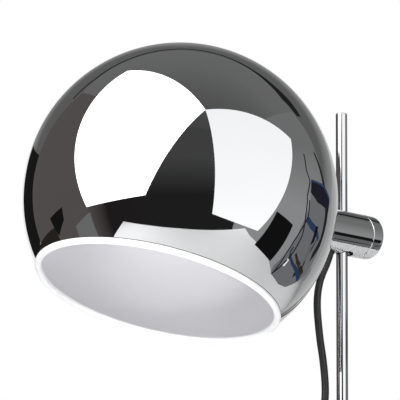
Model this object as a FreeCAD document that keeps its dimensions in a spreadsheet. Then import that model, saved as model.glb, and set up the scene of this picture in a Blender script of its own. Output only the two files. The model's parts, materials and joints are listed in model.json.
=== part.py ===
import FreeCAD, Part
import Sketcher
import math
import os
import re

# Desk lamp: a chromed ball shade hangs on a cylindrical clamp, and the clamp slides and turns on a
# thin upright rod that stands in a round weighted base. A black flex hangs from the clamp to the base.
#
# Frame: millimetres, +Z up, origin on the table at the rod's axis. The clamp's axis is parallel to X,
# its knob towards +X and the ball towards -X. The flex leaves the base towards +Y, the back.

Vec = FreeCAD.Vector
X_AXIS, Y_AXIS, Z_AXIS = Vec(1, 0, 0), Vec(0, 1, 0), Vec(0, 0, 1)

# ---------------------------------------------------------------------------------------------
# Driving sizes
# ---------------------------------------------------------------------------------------------

SIZES = {
    # ball shade, a spun shell with a side hole for the pivot and an open mouth
    "ball_radius": 100.0,
    "ball_wall": 1.0,
    "mouth_depth": 63.0,          # centre of the ball to the plane of the cut edge
    "mouth_lean": 15.9,           # degrees the mouth looks outwards, away from the rod
    "bead_radius": 2.2,           # white trim ring that covers the cut edge
    "bead_drop": 0.9,             # how far its section's centre lies beyond the cut edge
    "bead_slot_gap": 0.05,
    # where the clamp's axis lies, above the table
    "axis_height": 374.0,
    # upright rod
    "rod_radius": 4.0,
    "rod_reach": 83.5,            # top of the rod above the clamp's axis
    "rod_bevel": 0.6,
    "rod_foot": 2.6,              # lower end of the rod above the table
    # clamp
    "clamp_radius": 15.0,
    "clamp_back": 40.0,           # rod's axis to the clamp's face on the ball's side
    "clamp_front": 15.6,          # rod's axis to the clamp's face on the knob's side
    "clamp_bevel": 0.25,
    "cross_hole_radius": 6.5,
    "cross_hole_shift": 1.6,      # the cross hole stands off the rod towards the knob
    "liner_gap": 0.05,
    "liner_wall": 0.75,
    "liner_length": 25.0,
    "screw_radius": 4.0,
    "screw_gap": 0.05,
    "pad_gap": 0.1,
    "pad_length": 4.4,
    "knob_gap": 0.4,
    "knob_length": 10.4,
    "knob_round": 2.0,
    "knob_bevel": 0.45,
    "screw_hold": 7.0,            # length of the screw that is pressed into the knob
    # flex outlet in the underside of the clamp
    "outlet_x": 12.4,
    "outlet_drop": 15.2,          # where the flex leaves its bush, under the clamp's axis
    "outlet_slant": 15.0,
    "outlet_radius": 4.0,
    "flex_radius": 2.5,
    "flex_gap": 0.05,
    "core_radius": 2.0,
    # pivot that carries the ball and the lampholder
    "pivot_radius": 5.0,
    "pivot_bore": 3.5,
    "pivot_gap": 0.06,
    "pivot_grip": 10.0,
    "pivot_hold": 5.2,            # end of the tube inside the lampholder's cap
    "core_space_radius": 4.5,
    "core_space_end": 7.0,
    "seat_radius": 13.5,
    "seat_length": 5.0,           # clamp's face to the nearest point of the ball
    "seat_gap": 0.3,
    "inner_washer_radius": 12.0,
    "inner_washer_edge": 3.0,
    "spring_washer_radius": 9.0,
    "spring_washer_thick": 1.4,
    "pivot_nut_flats": 14.0,
    "pivot_nut_height": 4.0,
    # lampholder for a screw cap of 27 mm, and its bulb of 60 mm
    "holder_gap": 0.4,
    "holder_radius": 20.0,
    "holder_wall": 2.2,
    "holder_cap_length": 20.0,
    "holder_sleeve_length": 30.0,
    "holder_sleeve_bore": 14.8,
    "holder_core_length": 12.0,
    "thread_shell_radius": 14.3,
    "thread_shell_wall": 0.5,
    "thread_shell_length": 24.0,
    "contact_radius": 3.0,
    "contact_height": 2.4,
    "bulb_cap_radius": 13.1,
    "bulb_cap_length": 24.0,
    "bulb_cap_wall": 0.6,
    "bulb_tip_radius": 4.5,
    "bulb_neck_radius": 12.4,
    "bulb_neck_grip": 4.0,
    "bulb_neck_length": 4.0,
    "bulb_radius": 30.0,
    "bulb_length": 105.0,
    "bulb_shoulder": 66.0,        # degrees from the bulb's axis where neck and globe meet
    "bulb_wall": 0.9,
    # base
    "base_radius": 110.0,
    "base_height": 18.0,
    "base_round": 7.0,
    "cover_wall": 1.2,
    "cover_clear": 1.0,           # the cover's rim above the table
    "rod_hole_gap": 0.15,
    "pad_radius": 104.0,
    "pad_thick": 2.0,
    "weight_gap": 0.5,
    "nut_well_radius": 12.5,
    "foot_nut_flats": 13.0,
    "foot_nut_height": 5.0,
    "foot_spring_thick": 2.0,
    "foot_washer_thick": 1.6,
    "foot_washer_radius": 10.0,
    "nut_clear": 0.4,
    "collar_radius": 9.0,
    "collar_height": 8.0,
    "collar_bevel": 1.2,
    # flex inside the base
    "inlet_x": 18.0,
    "inlet_flange": 6.0,
    "inlet_neck": 4.1,
    "inlet_height": 2.0,
    "channel_width": 7.0,
    "channel_floor": 5.8,
    "channel_height": 8.8,        # centre of the flex in the channel
    "channel_bend": 8.0,
    "exit_flange": 6.5,
    "exit_neck": 4.35,
    "exit_lip": 1.5,
    "relief_length": 24.0,
    "relief_root": 4.4,
    "relief_tip": 3.1,
    "grip_y": 45.0,
    "grip_length": 26.0,
    "grip_width": 9.0,
    "grip_thick": 2.4,
    "grip_spacing": 17.0,
    "small_screw_radius": 1.5,
    "small_head_radius": 2.8,
    "small_head_height": 1.8,
    "small_screw_length": 7.0,
    # switch on the flex
    "switch_x": 5.0,
    "switch_y": 285.0,
    "switch_length": 62.0,
    "switch_width": 27.0,
    "switch_split": 9.0,
    "switch_height": 18.0,
    "switch_corner": 7.0,
    "switch_edge": 1.5,
    "well_length": 23.0,
    "well_width": 12.0,
    "rocker_length": 19.6,
    "rocker_width": 11.0,
    "rocker_drop": 4.0,
    "rocker_rise": 3.4,
    "rocker_valley": 1.6,
    "rocker_angle": 8.0,
    "rocker_pin_radius": 1.0,
    "rocker_pin_gap": 0.05,
    "rocker_pin_height": 15.5,
    "switch_screw_x": 22.0,
    # coil that the spare flex is stored in
    "coil_x": 105.0,
    "coil_y": 255.0,
    "coil_radius": 27.0,          # middle of the turns
    "coil_pitch": 5.5,
    "coil_turns": 6.5,
    "coil_lift": 1.3,
    "tie_wall": 1.0,
    "tie_width": 8.0,
    "tie_gap": 0.2,
    "tie_slack": 0.6,             # the turns are curved inside the strap's width
    # plug
    "plug_x": 47.0,
    "plug_height": 14.0,
    "plug_length": 36.0,
    "plug_width": 34.0,
    "plug_neck": 13.0,
    "plug_edge": 2.0,
    "prong_radius": 2.0,
    "prong_length": 19.0,
    "prong_hold": 9.0,
    "prong_spacing": 18.6,
    "prong_round": 1.2,
}

doc = FreeCAD.newDocument("ball_lamp")
sheet = doc.addObject("Spreadsheet::Sheet", "Sizes")
for row, (name, amount) in enumerate(SIZES.items(), start=1):
    sheet.set("A%d" % row, name)
    sheet.set("B%d" % row, str(amount))
    sheet.setAlias("B%d" % row, name)
doc.recompute()

PARTS = {}


def linked(text):
    """An expression in plain size names, with each name pointed at its cell."""
    return re.sub(r"[a-z][a-z_]+[a-z]", lambda word: "Sizes." + word.group() if word.group() in SIZES
                  else word.group(), text)


def size(text):
    """The present value of an expression in size names."""
    return float(sheet.evalExpression(linked(text)))


def bind(item, prop, text):
    item.setExpression(prop, linked(text))


# ---------------------------------------------------------------------------------------------
# Ways of making a piece
# ---------------------------------------------------------------------------------------------

def new_body(name):
    body = doc.addObject("PartDesign::Body", name)
    body.Label = name
    PARTS[name] = body
    return body


def sketch_on(body, name, plane, outline, lift=None):
    """A closed outline of lines and arcs on one of the body's own planes.

    Each step of the outline is (x, y) for a line to that corner, or (x, y, radius, centre x,
    centre y) for the shorter arc to it; all are expressions in size names.
    """
    sketch = body.newObject("Sketcher::SketchObject", name)
    origin_plane = [item for item in body.Origin.OriginFeatures if item.Role == plane][0]
    sketch.AttachmentSupport = [(origin_plane, "")]
    sketch.MapMode = "FlatFace"
    if lift:
        bind(sketch, "AttachmentOffset.Base.z", lift)
    corners = [Vec(size(step[0]), size(step[1]), 0) for step in outline]
    for index, step in enumerate(outline):
        start, end = corners[index - 1], corners[index]
        if len(step) == 2:
            edge = Part.LineSegment(start, end)
            first, last = 1, 2
        else:
            centre = Vec(size(step[3]), size(step[4]), 0)
            a0 = math.atan2(start.y - centre.y, start.x - centre.x)
            a1 = math.atan2(end.y - centre.y, end.x - centre.x)
            turn = (a1 - a0) % (2 * math.pi)
            first, last = (1, 2) if turn <= math.pi else (2, 1)
            low, high = (a0, a0 + turn) if turn <= math.pi else (a1, a1 + 2 * math.pi - turn)
            circle = Part.Circle(centre, Z_AXIS, size(step[2]))
            edge = Part.ArcOfCircle(circle, low, high)
        sketch.addGeometry(edge, False)
        if index:
            sketch.addConstraint(Sketcher.Constraint("Coincident", index - 1, previous_last, index, first))
        else:
            opening_end = first
        if len(step) == 5:
            radius = sketch.addConstraint(Sketcher.Constraint("Radius", index, size(step[2])))
            bind(sketch, "Constraints[%d]" % radius, step[2])
        for kind, text in (("DistanceX", step[0]), ("DistanceY", step[1])):
            fixed = sketch.addConstraint(Sketcher.Constraint(kind, -1, 1, index, last, size(text)))
            bind(sketch, "Constraints[%d]" % fixed, text)
        previous_last = last
    sketch.addConstraint(Sketcher.Constraint("Coincident", len(outline) - 1, previous_last, 0, opening_end))
    return sketch


def turned(name, outline):
    """A lathe piece about its own Z axis; the outline is (radius, height)."""
    body = new_body(name)
    feature = body.newObject("PartDesign::Revolution", name + "_turning")
    feature.Profile = sketch_on(body, name + "_outline", "XZ_Plane", outline)
    feature.ReferenceAxis = (feature.Profile[0], ["V_Axis"])
    feature.Angle = 360
    body.Tip = feature
    return body


def extruded(name, plane, outline, length, lift=None):
    body = new_body(name)
    feature = body.newObject("PartDesign::Pad", name + "_pad")
    feature.Profile = sketch_on(body, name + "_outline", plane, outline, lift)
    bind(feature, "Length", length)
    body.Tip = feature
    return body


def make_cut(body, feature):
    """Add a cut to its body, and stop if it removed nothing."""
    body.Tip = feature
    doc.recompute()
    if not feature.BaseFeature.Shape.Volume - feature.Shape.Volume > 1e-3:
        raise RuntimeError(feature.Name + " cuts nothing")


def bored(body, name, radius, length, at, turn=None):
    """A round hole: at is where it starts, and turn tilts its axis from +Z about Y or X."""
    doc.recompute()
    hole = body.newObject("PartDesign::SubtractiveCylinder", name)
    bind(hole, "Radius", radius)
    bind(hole, "Height", length)
    if turn:
        axis, angle = turn
        hole.Placement = FreeCAD.Placement(Vec(0, 0, 0), FreeCAD.Rotation(axis, size(angle)))
        bind(hole, "Placement.Rotation.Angle", angle)
    for letter, text in zip("xyz", at):
        bind(hole, "Placement.Base." + letter, text)
    make_cut(body, hole)


def slotted(body, name, lengths, corner):
    """A square-cornered cut of the given lengths along X, Y and Z from its lowest corner."""
    doc.recompute()
    slot = body.newObject("PartDesign::SubtractiveBox", name)
    for prop, text in zip(("Length", "Width", "Height"), lengths):
        bind(slot, prop, text)
    for letter, text in zip("xyz", corner):
        bind(slot, "Placement.Base." + letter, text)
    make_cut(body, slot)


def rounded(body, name, edges, radius):
    """Fillet the edges of the body's last feature that the test picks."""
    doc.recompute()
    base = body.Tip
    picked = ["Edge%d" % (i + 1) for i, edge in enumerate(base.Shape.Edges) if edges(edge)]
    fillet = body.newObject("PartDesign::Fillet", name)
    fillet.Base = (base, picked)
    bind(fillet, "Radius", radius)
    body.Tip = fillet


def placed(body, x="0", y="0", z="0", turn=None):
    """Put a finished piece in the lamp; turn is an axis and an angle."""
    if turn:
        axis, angle = turn
        body.Placement = FreeCAD.Placement(Vec(0, 0, 0), FreeCAD.Rotation(axis, size(angle)))
        bind(body, "Placement.Rotation.Angle", angle)
    for letter, text in zip("xyz", (x, y, z)):
        bind(body, "Placement.Base." + letter, text)
    return body


def along_clamp(body, x="0"):
    """Lay a lathe piece on the clamp's axis, its own +Z towards the knob."""
    return placed(body, x=x, z="axis_height", turn=(Y_AXIS, "90"))


def ring(name, inner, outer, low, high):
    """A plain washer or sleeve between two heights."""
    return turned(name, [(inner, low), (outer, low), (outer, high), (inner, high)])


def hex_nut(name, flats, bore, height, along=False, z="0", x="0"):
    prism = doc.addObject("Part::Prism", name + "_hexagon")
    prism.Polygon = 6
    bind(prism, "Circumradius", "(%s) / sqrt(3)" % flats)
    bind(prism, "Height", height)
    hole = doc.addObject("Part::Cylinder", name + "_bore")
    bind(hole, "Radius", bore)
    bind(hole, "Height", height)
    nut = doc.addObject("Part::Cut", name)
    nut.Base, nut.Tool = prism, hole
    nut.Label = name
    PARTS[name] = nut
    return along_clamp(nut, x=x) if along else placed(nut, z=z)


# the ball's centre, seen from the axis of the rod
ball_centre = "-(clamp_back + seat_length + ball_radius)"


def sphere_x(radius, reach):
    """Local height of a sphere about the ball's centre, at a distance from the clamp's axis."""
    return "%s + sqrt((%s)^2 - (%s)^2)" % (ball_centre, radius, reach)


# ---------------------------------------------------------------------------------------------
# Ball shade
# ---------------------------------------------------------------------------------------------

mouth_outer = "sqrt(ball_radius^2 - mouth_depth^2)"
mouth_inner = "sqrt((ball_radius - ball_wall)^2 - mouth_depth^2)"


def shade_shell():
    """Spun shell, mouth down in its own frame, with the pivot's hole in its side."""
    body = turned("shade_shell", [
        ("0", "ball_radius"),
        ("ball_radius", "0", "ball_radius", "0", "0"),
        (mouth_outer, "-mouth_depth", "ball_radius", "0", "0"),
        (mouth_inner, "-mouth_depth"),
        ("ball_radius - ball_wall", "0", "ball_radius - ball_wall", "0", "0"),
        ("0", "ball_radius - ball_wall", "ball_radius - ball_wall", "0", "0"),
    ])
    bored(body, "pivot_hole", "pivot_radius + pivot_gap", "2 * ball_radius", ("0", "0", "0"),
          (Y_AXIS, "90 - mouth_lean"))
    return placed(body, x=ball_centre, z="axis_height", turn=(Y_AXIS, "mouth_lean"))


def mouth_ring():
    """White trim ring of round section, slotted to sit on the shell's cut edge."""
    across = "sqrt((ball_radius - ball_wall / 2)^2 - (mouth_depth + bead_drop)^2)"
    down = "-mouth_depth - bead_drop"
    body = turned("mouth_ring", [
        (across + " + bead_radius", down, "bead_radius", across, down),
        (across, down + " + bead_radius", "bead_radius", across, down),
        (across + " - bead_radius", down, "bead_radius", across, down),
        (across, down + " - bead_radius", "bead_radius", across, down),
    ])
    outside = "ball_radius + bead_slot_gap"
    inside = "ball_radius - ball_wall - bead_slot_gap"
    foot = "mouth_depth + bead_slot_gap"
    top = "mouth_depth - 2 * bead_radius"
    slot = body.newObject("PartDesign::Groove", "edge_slot")
    slot.Profile = sketch_on(body, "edge_slot_outline", "XZ_Plane", [
        ("sqrt((%s)^2 - (%s)^2)" % (outside, foot), "-(%s)" % foot),
        ("sqrt((%s)^2 - (%s)^2)" % (outside, top), "-(%s)" % top, outside, "0", "0"),
        ("sqrt((%s)^2 - (%s)^2)" % (inside, top), "-(%s)" % top),
        ("sqrt((%s)^2 - (%s)^2)" % (inside, foot), "-(%s)" % foot, inside, "0", "0"),
    ])
    slot.ReferenceAxis = (slot.Profile[0], ["V_Axis"])
    slot.Angle = 360
    doc.recompute()
    make_cut(body, slot)
    return placed(body, x=ball_centre, z="axis_height", turn=(Y_AXIS, "mouth_lean"))


# ---------------------------------------------------------------------------------------------
# Clamp, knob and rod liner. Lathe pieces here have their own +Z along the clamp, towards the knob;
# their own +X then points down.
# ---------------------------------------------------------------------------------------------

def clamp_body():
    body = turned("clamp_body", [
        ("0", "-clamp_back"),
        ("clamp_radius - clamp_bevel", "-clamp_back"),
        ("clamp_radius", "-clamp_back + clamp_bevel"),
        ("clamp_radius", "clamp_front - clamp_bevel"),
        ("clamp_radius - clamp_bevel", "clamp_front"),
        ("0", "clamp_front"),
    ])
    bored(body, "rod_cross_hole", "cross_hole_radius", "4 * clamp_radius",
          ("-2 * clamp_radius", "0", "cross_hole_shift"), (Y_AXIS, "90"))
    bored(body, "screw_bore", "screw_radius + screw_gap", "clamp_front", ("0", "0", "cross_hole_shift"))
    bored(body, "core_space", "core_space_radius", "clamp_back - core_space_end", ("0", "0", "-clamp_back"))
    bored(body, "pivot_socket", "pivot_radius + pivot_gap / 2", "pivot_grip", ("0", "0", "-clamp_back"))
    # the flex's hole leans, so that the flex leaves the clamp towards the ball
    bored(body, "flex_outlet", "outlet_radius", "2 * clamp_radius",
          ("0", "0", "-outlet_x + outlet_drop * tan(outlet_slant)"), (Y_AXIS, "90 + outlet_slant"))
    return along_clamp(body)


def clamp_knob():
    """End knob of the clamp's own diameter, with a rounded outer edge and a socket for the screw."""
    near = "clamp_front + knob_gap"
    far = "clamp_front + knob_gap + knob_length"
    hold = "clamp_front + knob_gap + screw_hold"
    return along_clamp(turned("clamp_knob", [
        ("screw_radius + screw_gap / 5", near),
        ("clamp_radius - knob_bevel", near),
        ("clamp_radius", near + " + knob_bevel"),
        ("clamp_radius", far + " - knob_round"),
        ("clamp_radius - knob_round", far, "knob_round", "clamp_radius - knob_round", far + " - knob_round"),
        ("0", far),
        ("0", hold),
        ("screw_radius + screw_gap / 5", hold),
    ]))


def clamp_screw():
    tip = "rod_radius + liner_gap + liner_wall + pad_gap + pad_length + screw_gap"
    end = "clamp_front + knob_gap + screw_hold"
    return along_clamp(turned("clamp_screw", [
        ("0", tip),
        ("screw_radius - clamp_bevel", tip),
        ("screw_radius", tip + " + clamp_bevel"),
        ("screw_radius", end),
        ("0", end),
    ]))


def clamp_pad():
    """Brass pad between the screw and the rod's liner."""
    face = "rod_radius + liner_gap + liner_wall + pad_gap"
    return along_clamp(turned("clamp_pad", [
        ("0", face),
        ("screw_radius - 2 * clamp_bevel", face),
        ("screw_radius", face + " + 2 * clamp_bevel"),
        ("screw_radius", face + " + pad_length"),
        ("0", face + " + pad_length"),
    ]))


def rod_liner():
    return placed(ring("rod_liner", "rod_radius + liner_gap", "rod_radius + liner_gap + liner_wall",
                       "-liner_length / 2", "liner_length / 2"), z="axis_height")


def outlet_bush():
    """Bush in the leaning hole, its end flush with the clamp's underside where the flex leaves."""
    run = "outlet_drop / cos(outlet_slant)"
    body = ring("outlet_bush", "flex_radius + flex_gap", "outlet_radius", run + " - 5", run)
    return placed(body, x="-outlet_x + outlet_drop * tan(outlet_slant)", z="axis_height",
                  turn=(Y_AXIS, "180 + outlet_slant"))


# ---------------------------------------------------------------------------------------------
# Pivot between clamp and ball
# ---------------------------------------------------------------------------------------------

pivot_hole = "pivot_radius + pivot_gap"
washer_back = sphere_x("ball_radius - ball_wall - seat_gap", "inner_washer_radius") + " - inner_washer_edge"
spring_back = washer_back + " - spring_washer_thick"
nut_back = spring_back + " - pivot_nut_height"
holder_top = nut_back + " - holder_gap"


def pivot_tube():
    return along_clamp(ring("pivot_tube", "pivot_bore", "pivot_radius",
                            holder_top + " - pivot_hold", "-clamp_back + pivot_grip"))


def seat_collar():
    """Cupped collar that the outside of the ball turns against."""
    reach = "ball_radius + seat_gap"
    return along_clamp(turned("seat_collar", [
        (pivot_hole, sphere_x(reach, pivot_hole)),
        ("seat_radius", sphere_x(reach, "seat_radius"), reach, "0", ball_centre),
        ("seat_radius", "-clamp_back"),
        (pivot_hole, "-clamp_back"),
    ]))


def inner_washer():
    """Domed washer that bears on the inside of the ball."""
    reach = "ball_radius - ball_wall - seat_gap"
    return along_clamp(turned("inner_washer", [
        (pivot_hole, washer_back),
        ("inner_washer_radius", washer_back),
        ("inner_washer_radius", sphere_x(reach, "inner_washer_radius")),
        (pivot_hole, sphere_x(reach, pivot_hole), reach, "0", ball_centre),
    ]))


def pivot_spring_washer():
    return along_clamp(ring("pivot_spring_washer", pivot_hole, "spring_washer_radius",
                            spring_back, washer_back))


def pivot_nut():
    return hex_nut("pivot_nut", "pivot_nut_flats", pivot_hole, "pivot_nut_height", along=True, x=nut_back)


# ---------------------------------------------------------------------------------------------
# Lampholder and bulb, pointing away from the rod along the clamp's axis
# ---------------------------------------------------------------------------------------------

cap_mouth = holder_top + " - holder_cap_length"
core_back = cap_mouth + " - holder_wall"
core_front = core_back + " + holder_core_length"
sleeve_end = cap_mouth + " - holder_sleeve_length"
bulb_foot = core_back + " - contact_height"
globe_centre = bulb_foot + " - bulb_length + bulb_radius"


def holder_cap():
    shoulder = holder_top + " - holder_wall * 2.4"
    return along_clamp(turned("holder_cap", [
        (pivot_hole, holder_top),
        ("pivot_radius * 1.8", holder_top),
        ("holder_radius", shoulder),
        ("holder_radius", cap_mouth),
        ("holder_radius - holder_wall", cap_mouth),
        ("holder_radius - holder_wall", core_front),
        (pivot_hole, core_front),
    ]))


def holder_core():
    """Ceramic block that carries the contacts."""
    return along_clamp(turned("holder_core", [
        ("0", core_back),
        ("thread_shell_radius - thread_shell_wall - holder_gap", core_back),
        ("holder_radius - holder_wall - holder_gap / 2", core_back),
        ("holder_radius - holder_wall - holder_gap / 2", core_front),
        ("0", core_front),
    ]))


def holder_sleeve():
    lip = sleeve_end + " + holder_wall"
    return along_clamp(turned("holder_sleeve", [
        ("holder_sleeve_bore", core_back),
        ("holder_radius", core_back),
        ("holder_radius", core_back + " - holder_wall"),
        ("holder_radius - holder_wall / 2", core_back + " - 2 * holder_wall"),
        ("holder_radius - holder_wall / 2", sleeve_end),
        ("holder_sleeve_bore", sleeve_end),
    ]))


def holder_thread():
    return along_clamp(ring("holder_thread", "thread_shell_radius - thread_shell_wall",
                            "thread_shell_radius", core_back + " - thread_shell_length", core_back))


def holder_contact():
    return along_clamp(turned("holder_contact", [
        ("0", bulb_foot),
        ("contact_radius * 0.7", bulb_foot),
        ("contact_radius", bulb_foot + " + contact_height / 2"),
        ("contact_radius", core_back),
        ("0", core_back),
    ]))


def bulb_cap():
    shoulder = bulb_foot + " - 4 * bulb_cap_wall - bulb_cap_length / 8"
    rim = bulb_foot + " - bulb_cap_length"
    return along_clamp(turned("bulb_cap", [
        ("0", bulb_foot),
        ("bulb_tip_radius", bulb_foot),
        ("bulb_tip_radius", bulb_foot + " - 2 * bulb_cap_wall"),
        ("bulb_cap_radius", shoulder),
        ("bulb_cap_radius", rim),
        ("bulb_cap_radius - bulb_cap_wall", rim),
        ("bulb_cap_radius - bulb_cap_wall", shoulder),
        ("0", bulb_foot + " - 4 * bulb_cap_wall"),
    ]))


def bulb_glass():
    neck_top = bulb_foot + " - bulb_cap_length + bulb_neck_grip"
    neck_end = bulb_foot + " - bulb_cap_length - bulb_neck_length"
    touch_r = "(%s) * sin(bulb_shoulder)"
    touch_z = globe_centre + " + (%s) * cos(bulb_shoulder)"
    inner = "bulb_radius - bulb_wall"
    return along_clamp(turned("bulb_glass", [
        ("bulb_neck_radius", neck_top),
        ("bulb_neck_radius", neck_end),
        (touch_r % "bulb_radius", touch_z % "bulb_radius"),
        ("0", globe_centre + " - bulb_radius", "bulb_radius", "0", globe_centre),
        ("0", globe_centre + " - bulb_radius + bulb_wall"),
        (touch_r % inner, touch_z % inner, inner, "0", globe_centre),
        ("bulb_neck_radius - bulb_wall", neck_end),
        ("bulb_neck_radius - bulb_wall", neck_top),
    ]))


# ---------------------------------------------------------------------------------------------
# Base and rod
# ---------------------------------------------------------------------------------------------

weight_radius = "base_radius - cover_wall - weight_gap"
well_roof = "pad_thick + nut_clear + foot_nut_height + foot_spring_thick + foot_washer_thick"
rod_hole = "rod_radius + rod_hole_gap"
cover_under = "base_height - cover_wall"
exit_face = "sqrt(base_radius^2 - (inlet_x - exit_neck)^2)"


def rod():
    top = "axis_height + rod_reach"
    return turned("rod", [
        ("0", "rod_foot"),
        ("rod_radius - rod_bevel", "rod_foot"),
        ("rod_radius", "rod_foot + rod_bevel"),
        ("rod_radius", top + " - rod_bevel"),
        ("rod_radius - rod_bevel", top, "rod_bevel", "rod_radius - rod_bevel", top + " - rod_bevel"),
        ("0", top),
    ])


def rod_collar():
    """Threaded ring on the rod that bears on the cover; the nut below pulls against it."""
    return placed(turned("rod_collar", [
        ("rod_radius + rod_hole_gap / 3", "0"),
        ("collar_radius", "0"),
        ("collar_radius", "collar_height - collar_bevel"),
        ("collar_radius - collar_bevel", "collar_height"),
        ("rod_radius + rod_hole_gap / 3", "collar_height"),
    ]), z="base_height")


def base_cover():
    """Pressed cover with a rolled shoulder; it hides the weight and stops just above the table."""
    inside = "base_radius - cover_wall"
    flat = "base_radius - base_round"
    body = turned("base_cover", [
        (rod_hole, "base_height"),
        (flat, "base_height"),
        ("base_radius", "base_height - base_round", "base_round", flat, "base_height - base_round"),
        ("base_radius", "cover_clear"),
        (inside, "cover_clear"),
        (inside, "base_height - base_round"),
        (flat, cover_under, "base_round - cover_wall", flat, "base_height - base_round"),
        (rod_hole, cover_under),
    ])
    bored(body, "inlet_hole", "inlet_neck + flex_gap", "base_height", ("-inlet_x", "0", "base_height / 2"))
    bored(body, "exit_hole", "exit_neck + flex_gap", "base_radius",
          ("-inlet_x", "base_radius / 2", "channel_height"), (X_AXIS, "-90"))
    return body


def base_weight():
    """Cast disc that fills the cover, with the nut's well below and the flex's channel above."""
    body = turned("base_weight", [
        (rod_hole, well_roof),
        (rod_hole, cover_under),
        ("base_radius - base_round", cover_under),
        (weight_radius, "base_height - base_round"),
        (weight_radius, "pad_thick"),
        ("nut_well_radius", "pad_thick"),
        ("nut_well_radius", well_roof),
    ])
    slotted(body, "flex_channel", ("channel_width", "base_radius", "base_height"),
            ("-inlet_x - channel_width / 2", "-channel_width / 2", "channel_floor"))
    slotted(body, "grip_pocket", ("grip_length", "grip_width", "base_height"),
            ("-inlet_x - grip_length / 2", "grip_y - grip_width / 2",
             "channel_height + flex_radius + flex_gap"))
    slotted(body, "exit_pocket", ("3 * exit_neck", "base_radius", "base_height"),
            ("-inlet_x - 3 * exit_neck / 2", exit_face + " - exit_neck - cover_wall",
             "channel_floor - exit_neck / 2"))
    for side, sign in (("left", "-"), ("right", "+")):
        bored(body, "grip_screw_hole_" + side, "small_screw_radius", "base_height",
              ("-inlet_x %s grip_spacing / 2" % sign, "grip_y", "pad_thick + 1"))
    return body


def base_pad():
    return turned("base_pad", [
        ("0", "0"),
        ("pad_radius", "0"),
        ("pad_radius", "pad_thick"),
        ("0", "pad_thick"),
    ])


def foot_fixings():
    """Washer, spring washer and nut in the well, from the roof down."""
    washer_low = well_roof + " - foot_washer_thick"
    spring_low = washer_low + " - foot_spring_thick"
    ring("foot_washer", rod_hole, "foot_washer_radius", washer_low, well_roof)
    ring("foot_spring_washer", rod_hole, "foot_washer_radius * 0.74", spring_low, washer_low)
    hex_nut("foot_nut", "foot_nut_flats", "rod_radius + rod_hole_gap / 3", "foot_nut_height",
            z=spring_low + " - foot_nut_height")


def inlet_bush():
    """Snap-in bush where the flex goes down into the base."""
    bore = "flex_radius + flex_gap"
    return placed(turned("inlet_bush", [
        (bore, cover_under),
        ("inlet_neck", cover_under),
        ("inlet_neck", "base_height"),
        ("inlet_flange", "base_height"),
        ("inlet_flange", "base_height + inlet_height / 2"),
        ("inlet_flange - inlet_height / 2", "base_height + inlet_height"),
        (bore, "base_height + inlet_height"),
    ]), x="-inlet_x")


exit_start = "sqrt(base_radius^2 - inlet_x^2)"
exit_tip = "%s + relief_length" % exit_start


def exit_bush():
    """Tapered strain relief in the back of the base; its own +Z points backwards."""
    body = turned("exit_bush", [
        ("exit_flange", "-exit_neck / 2"),
        ("exit_flange", "exit_lip"),
        ("relief_root", "2 * exit_lip"),
        ("relief_tip", "relief_length"),
        ("0", "relief_length"),
        ("0", "-exit_neck / 2"),
    ])
    # the flange's back takes the curve of the cover it is pressed against
    bored(body, "cover_curve", "base_radius + flex_gap / 2", "4 * exit_flange",
          ("inlet_x", "-2 * exit_flange", "-(%s)" % exit_start), (X_AXIS, "-90"))
    neck = body.newObject("PartDesign::AdditiveCylinder", "exit_bush_neck")
    bind(neck, "Radius", "exit_neck")
    bind(neck, "Height", "2 * exit_lip + cover_wall + exit_neck / 2")
    bind(neck, "Placement.Base.z", "-cover_wall - exit_neck / 2")
    body.Tip = neck
    bored(body, "flex_bore", "flex_radius + flex_gap", "2 * relief_length", ("0", "0", "-relief_length / 2"))
    return placed(body, x="-inlet_x", y=exit_start, z="channel_height", turn=(X_AXIS, "-90"))


def cord_grip():
    """Bar across the channel that holds the flex down, and its two screws."""
    low = "channel_height + flex_radius + flex_gap"
    half_length, half_width = "grip_length / 2 - flex_gap * 4", "grip_width / 2 - flex_gap * 4"
    body = extruded("cord_grip", "XY_Plane", [
        ("-(%s)" % half_length, "-(%s)" % half_width),
        (half_length, "-(%s)" % half_width),
        (half_length, half_width),
        ("-(%s)" % half_length, half_width),
    ], "grip_thick")
    for side, sign in (("left", "-"), ("right", "")):
        bored(body, "grip_hole_" + side, "small_screw_radius + flex_gap", "4 * grip_thick",
              (sign + "grip_spacing / 2", "0", "-grip_thick"))
    placed(body, x="-inlet_x", y="grip_y", z=low)
    screw_pair("cord_grip_screws", "-inlet_x", "grip_spacing / 2", "grip_y", low + " + grip_thick")


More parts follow.
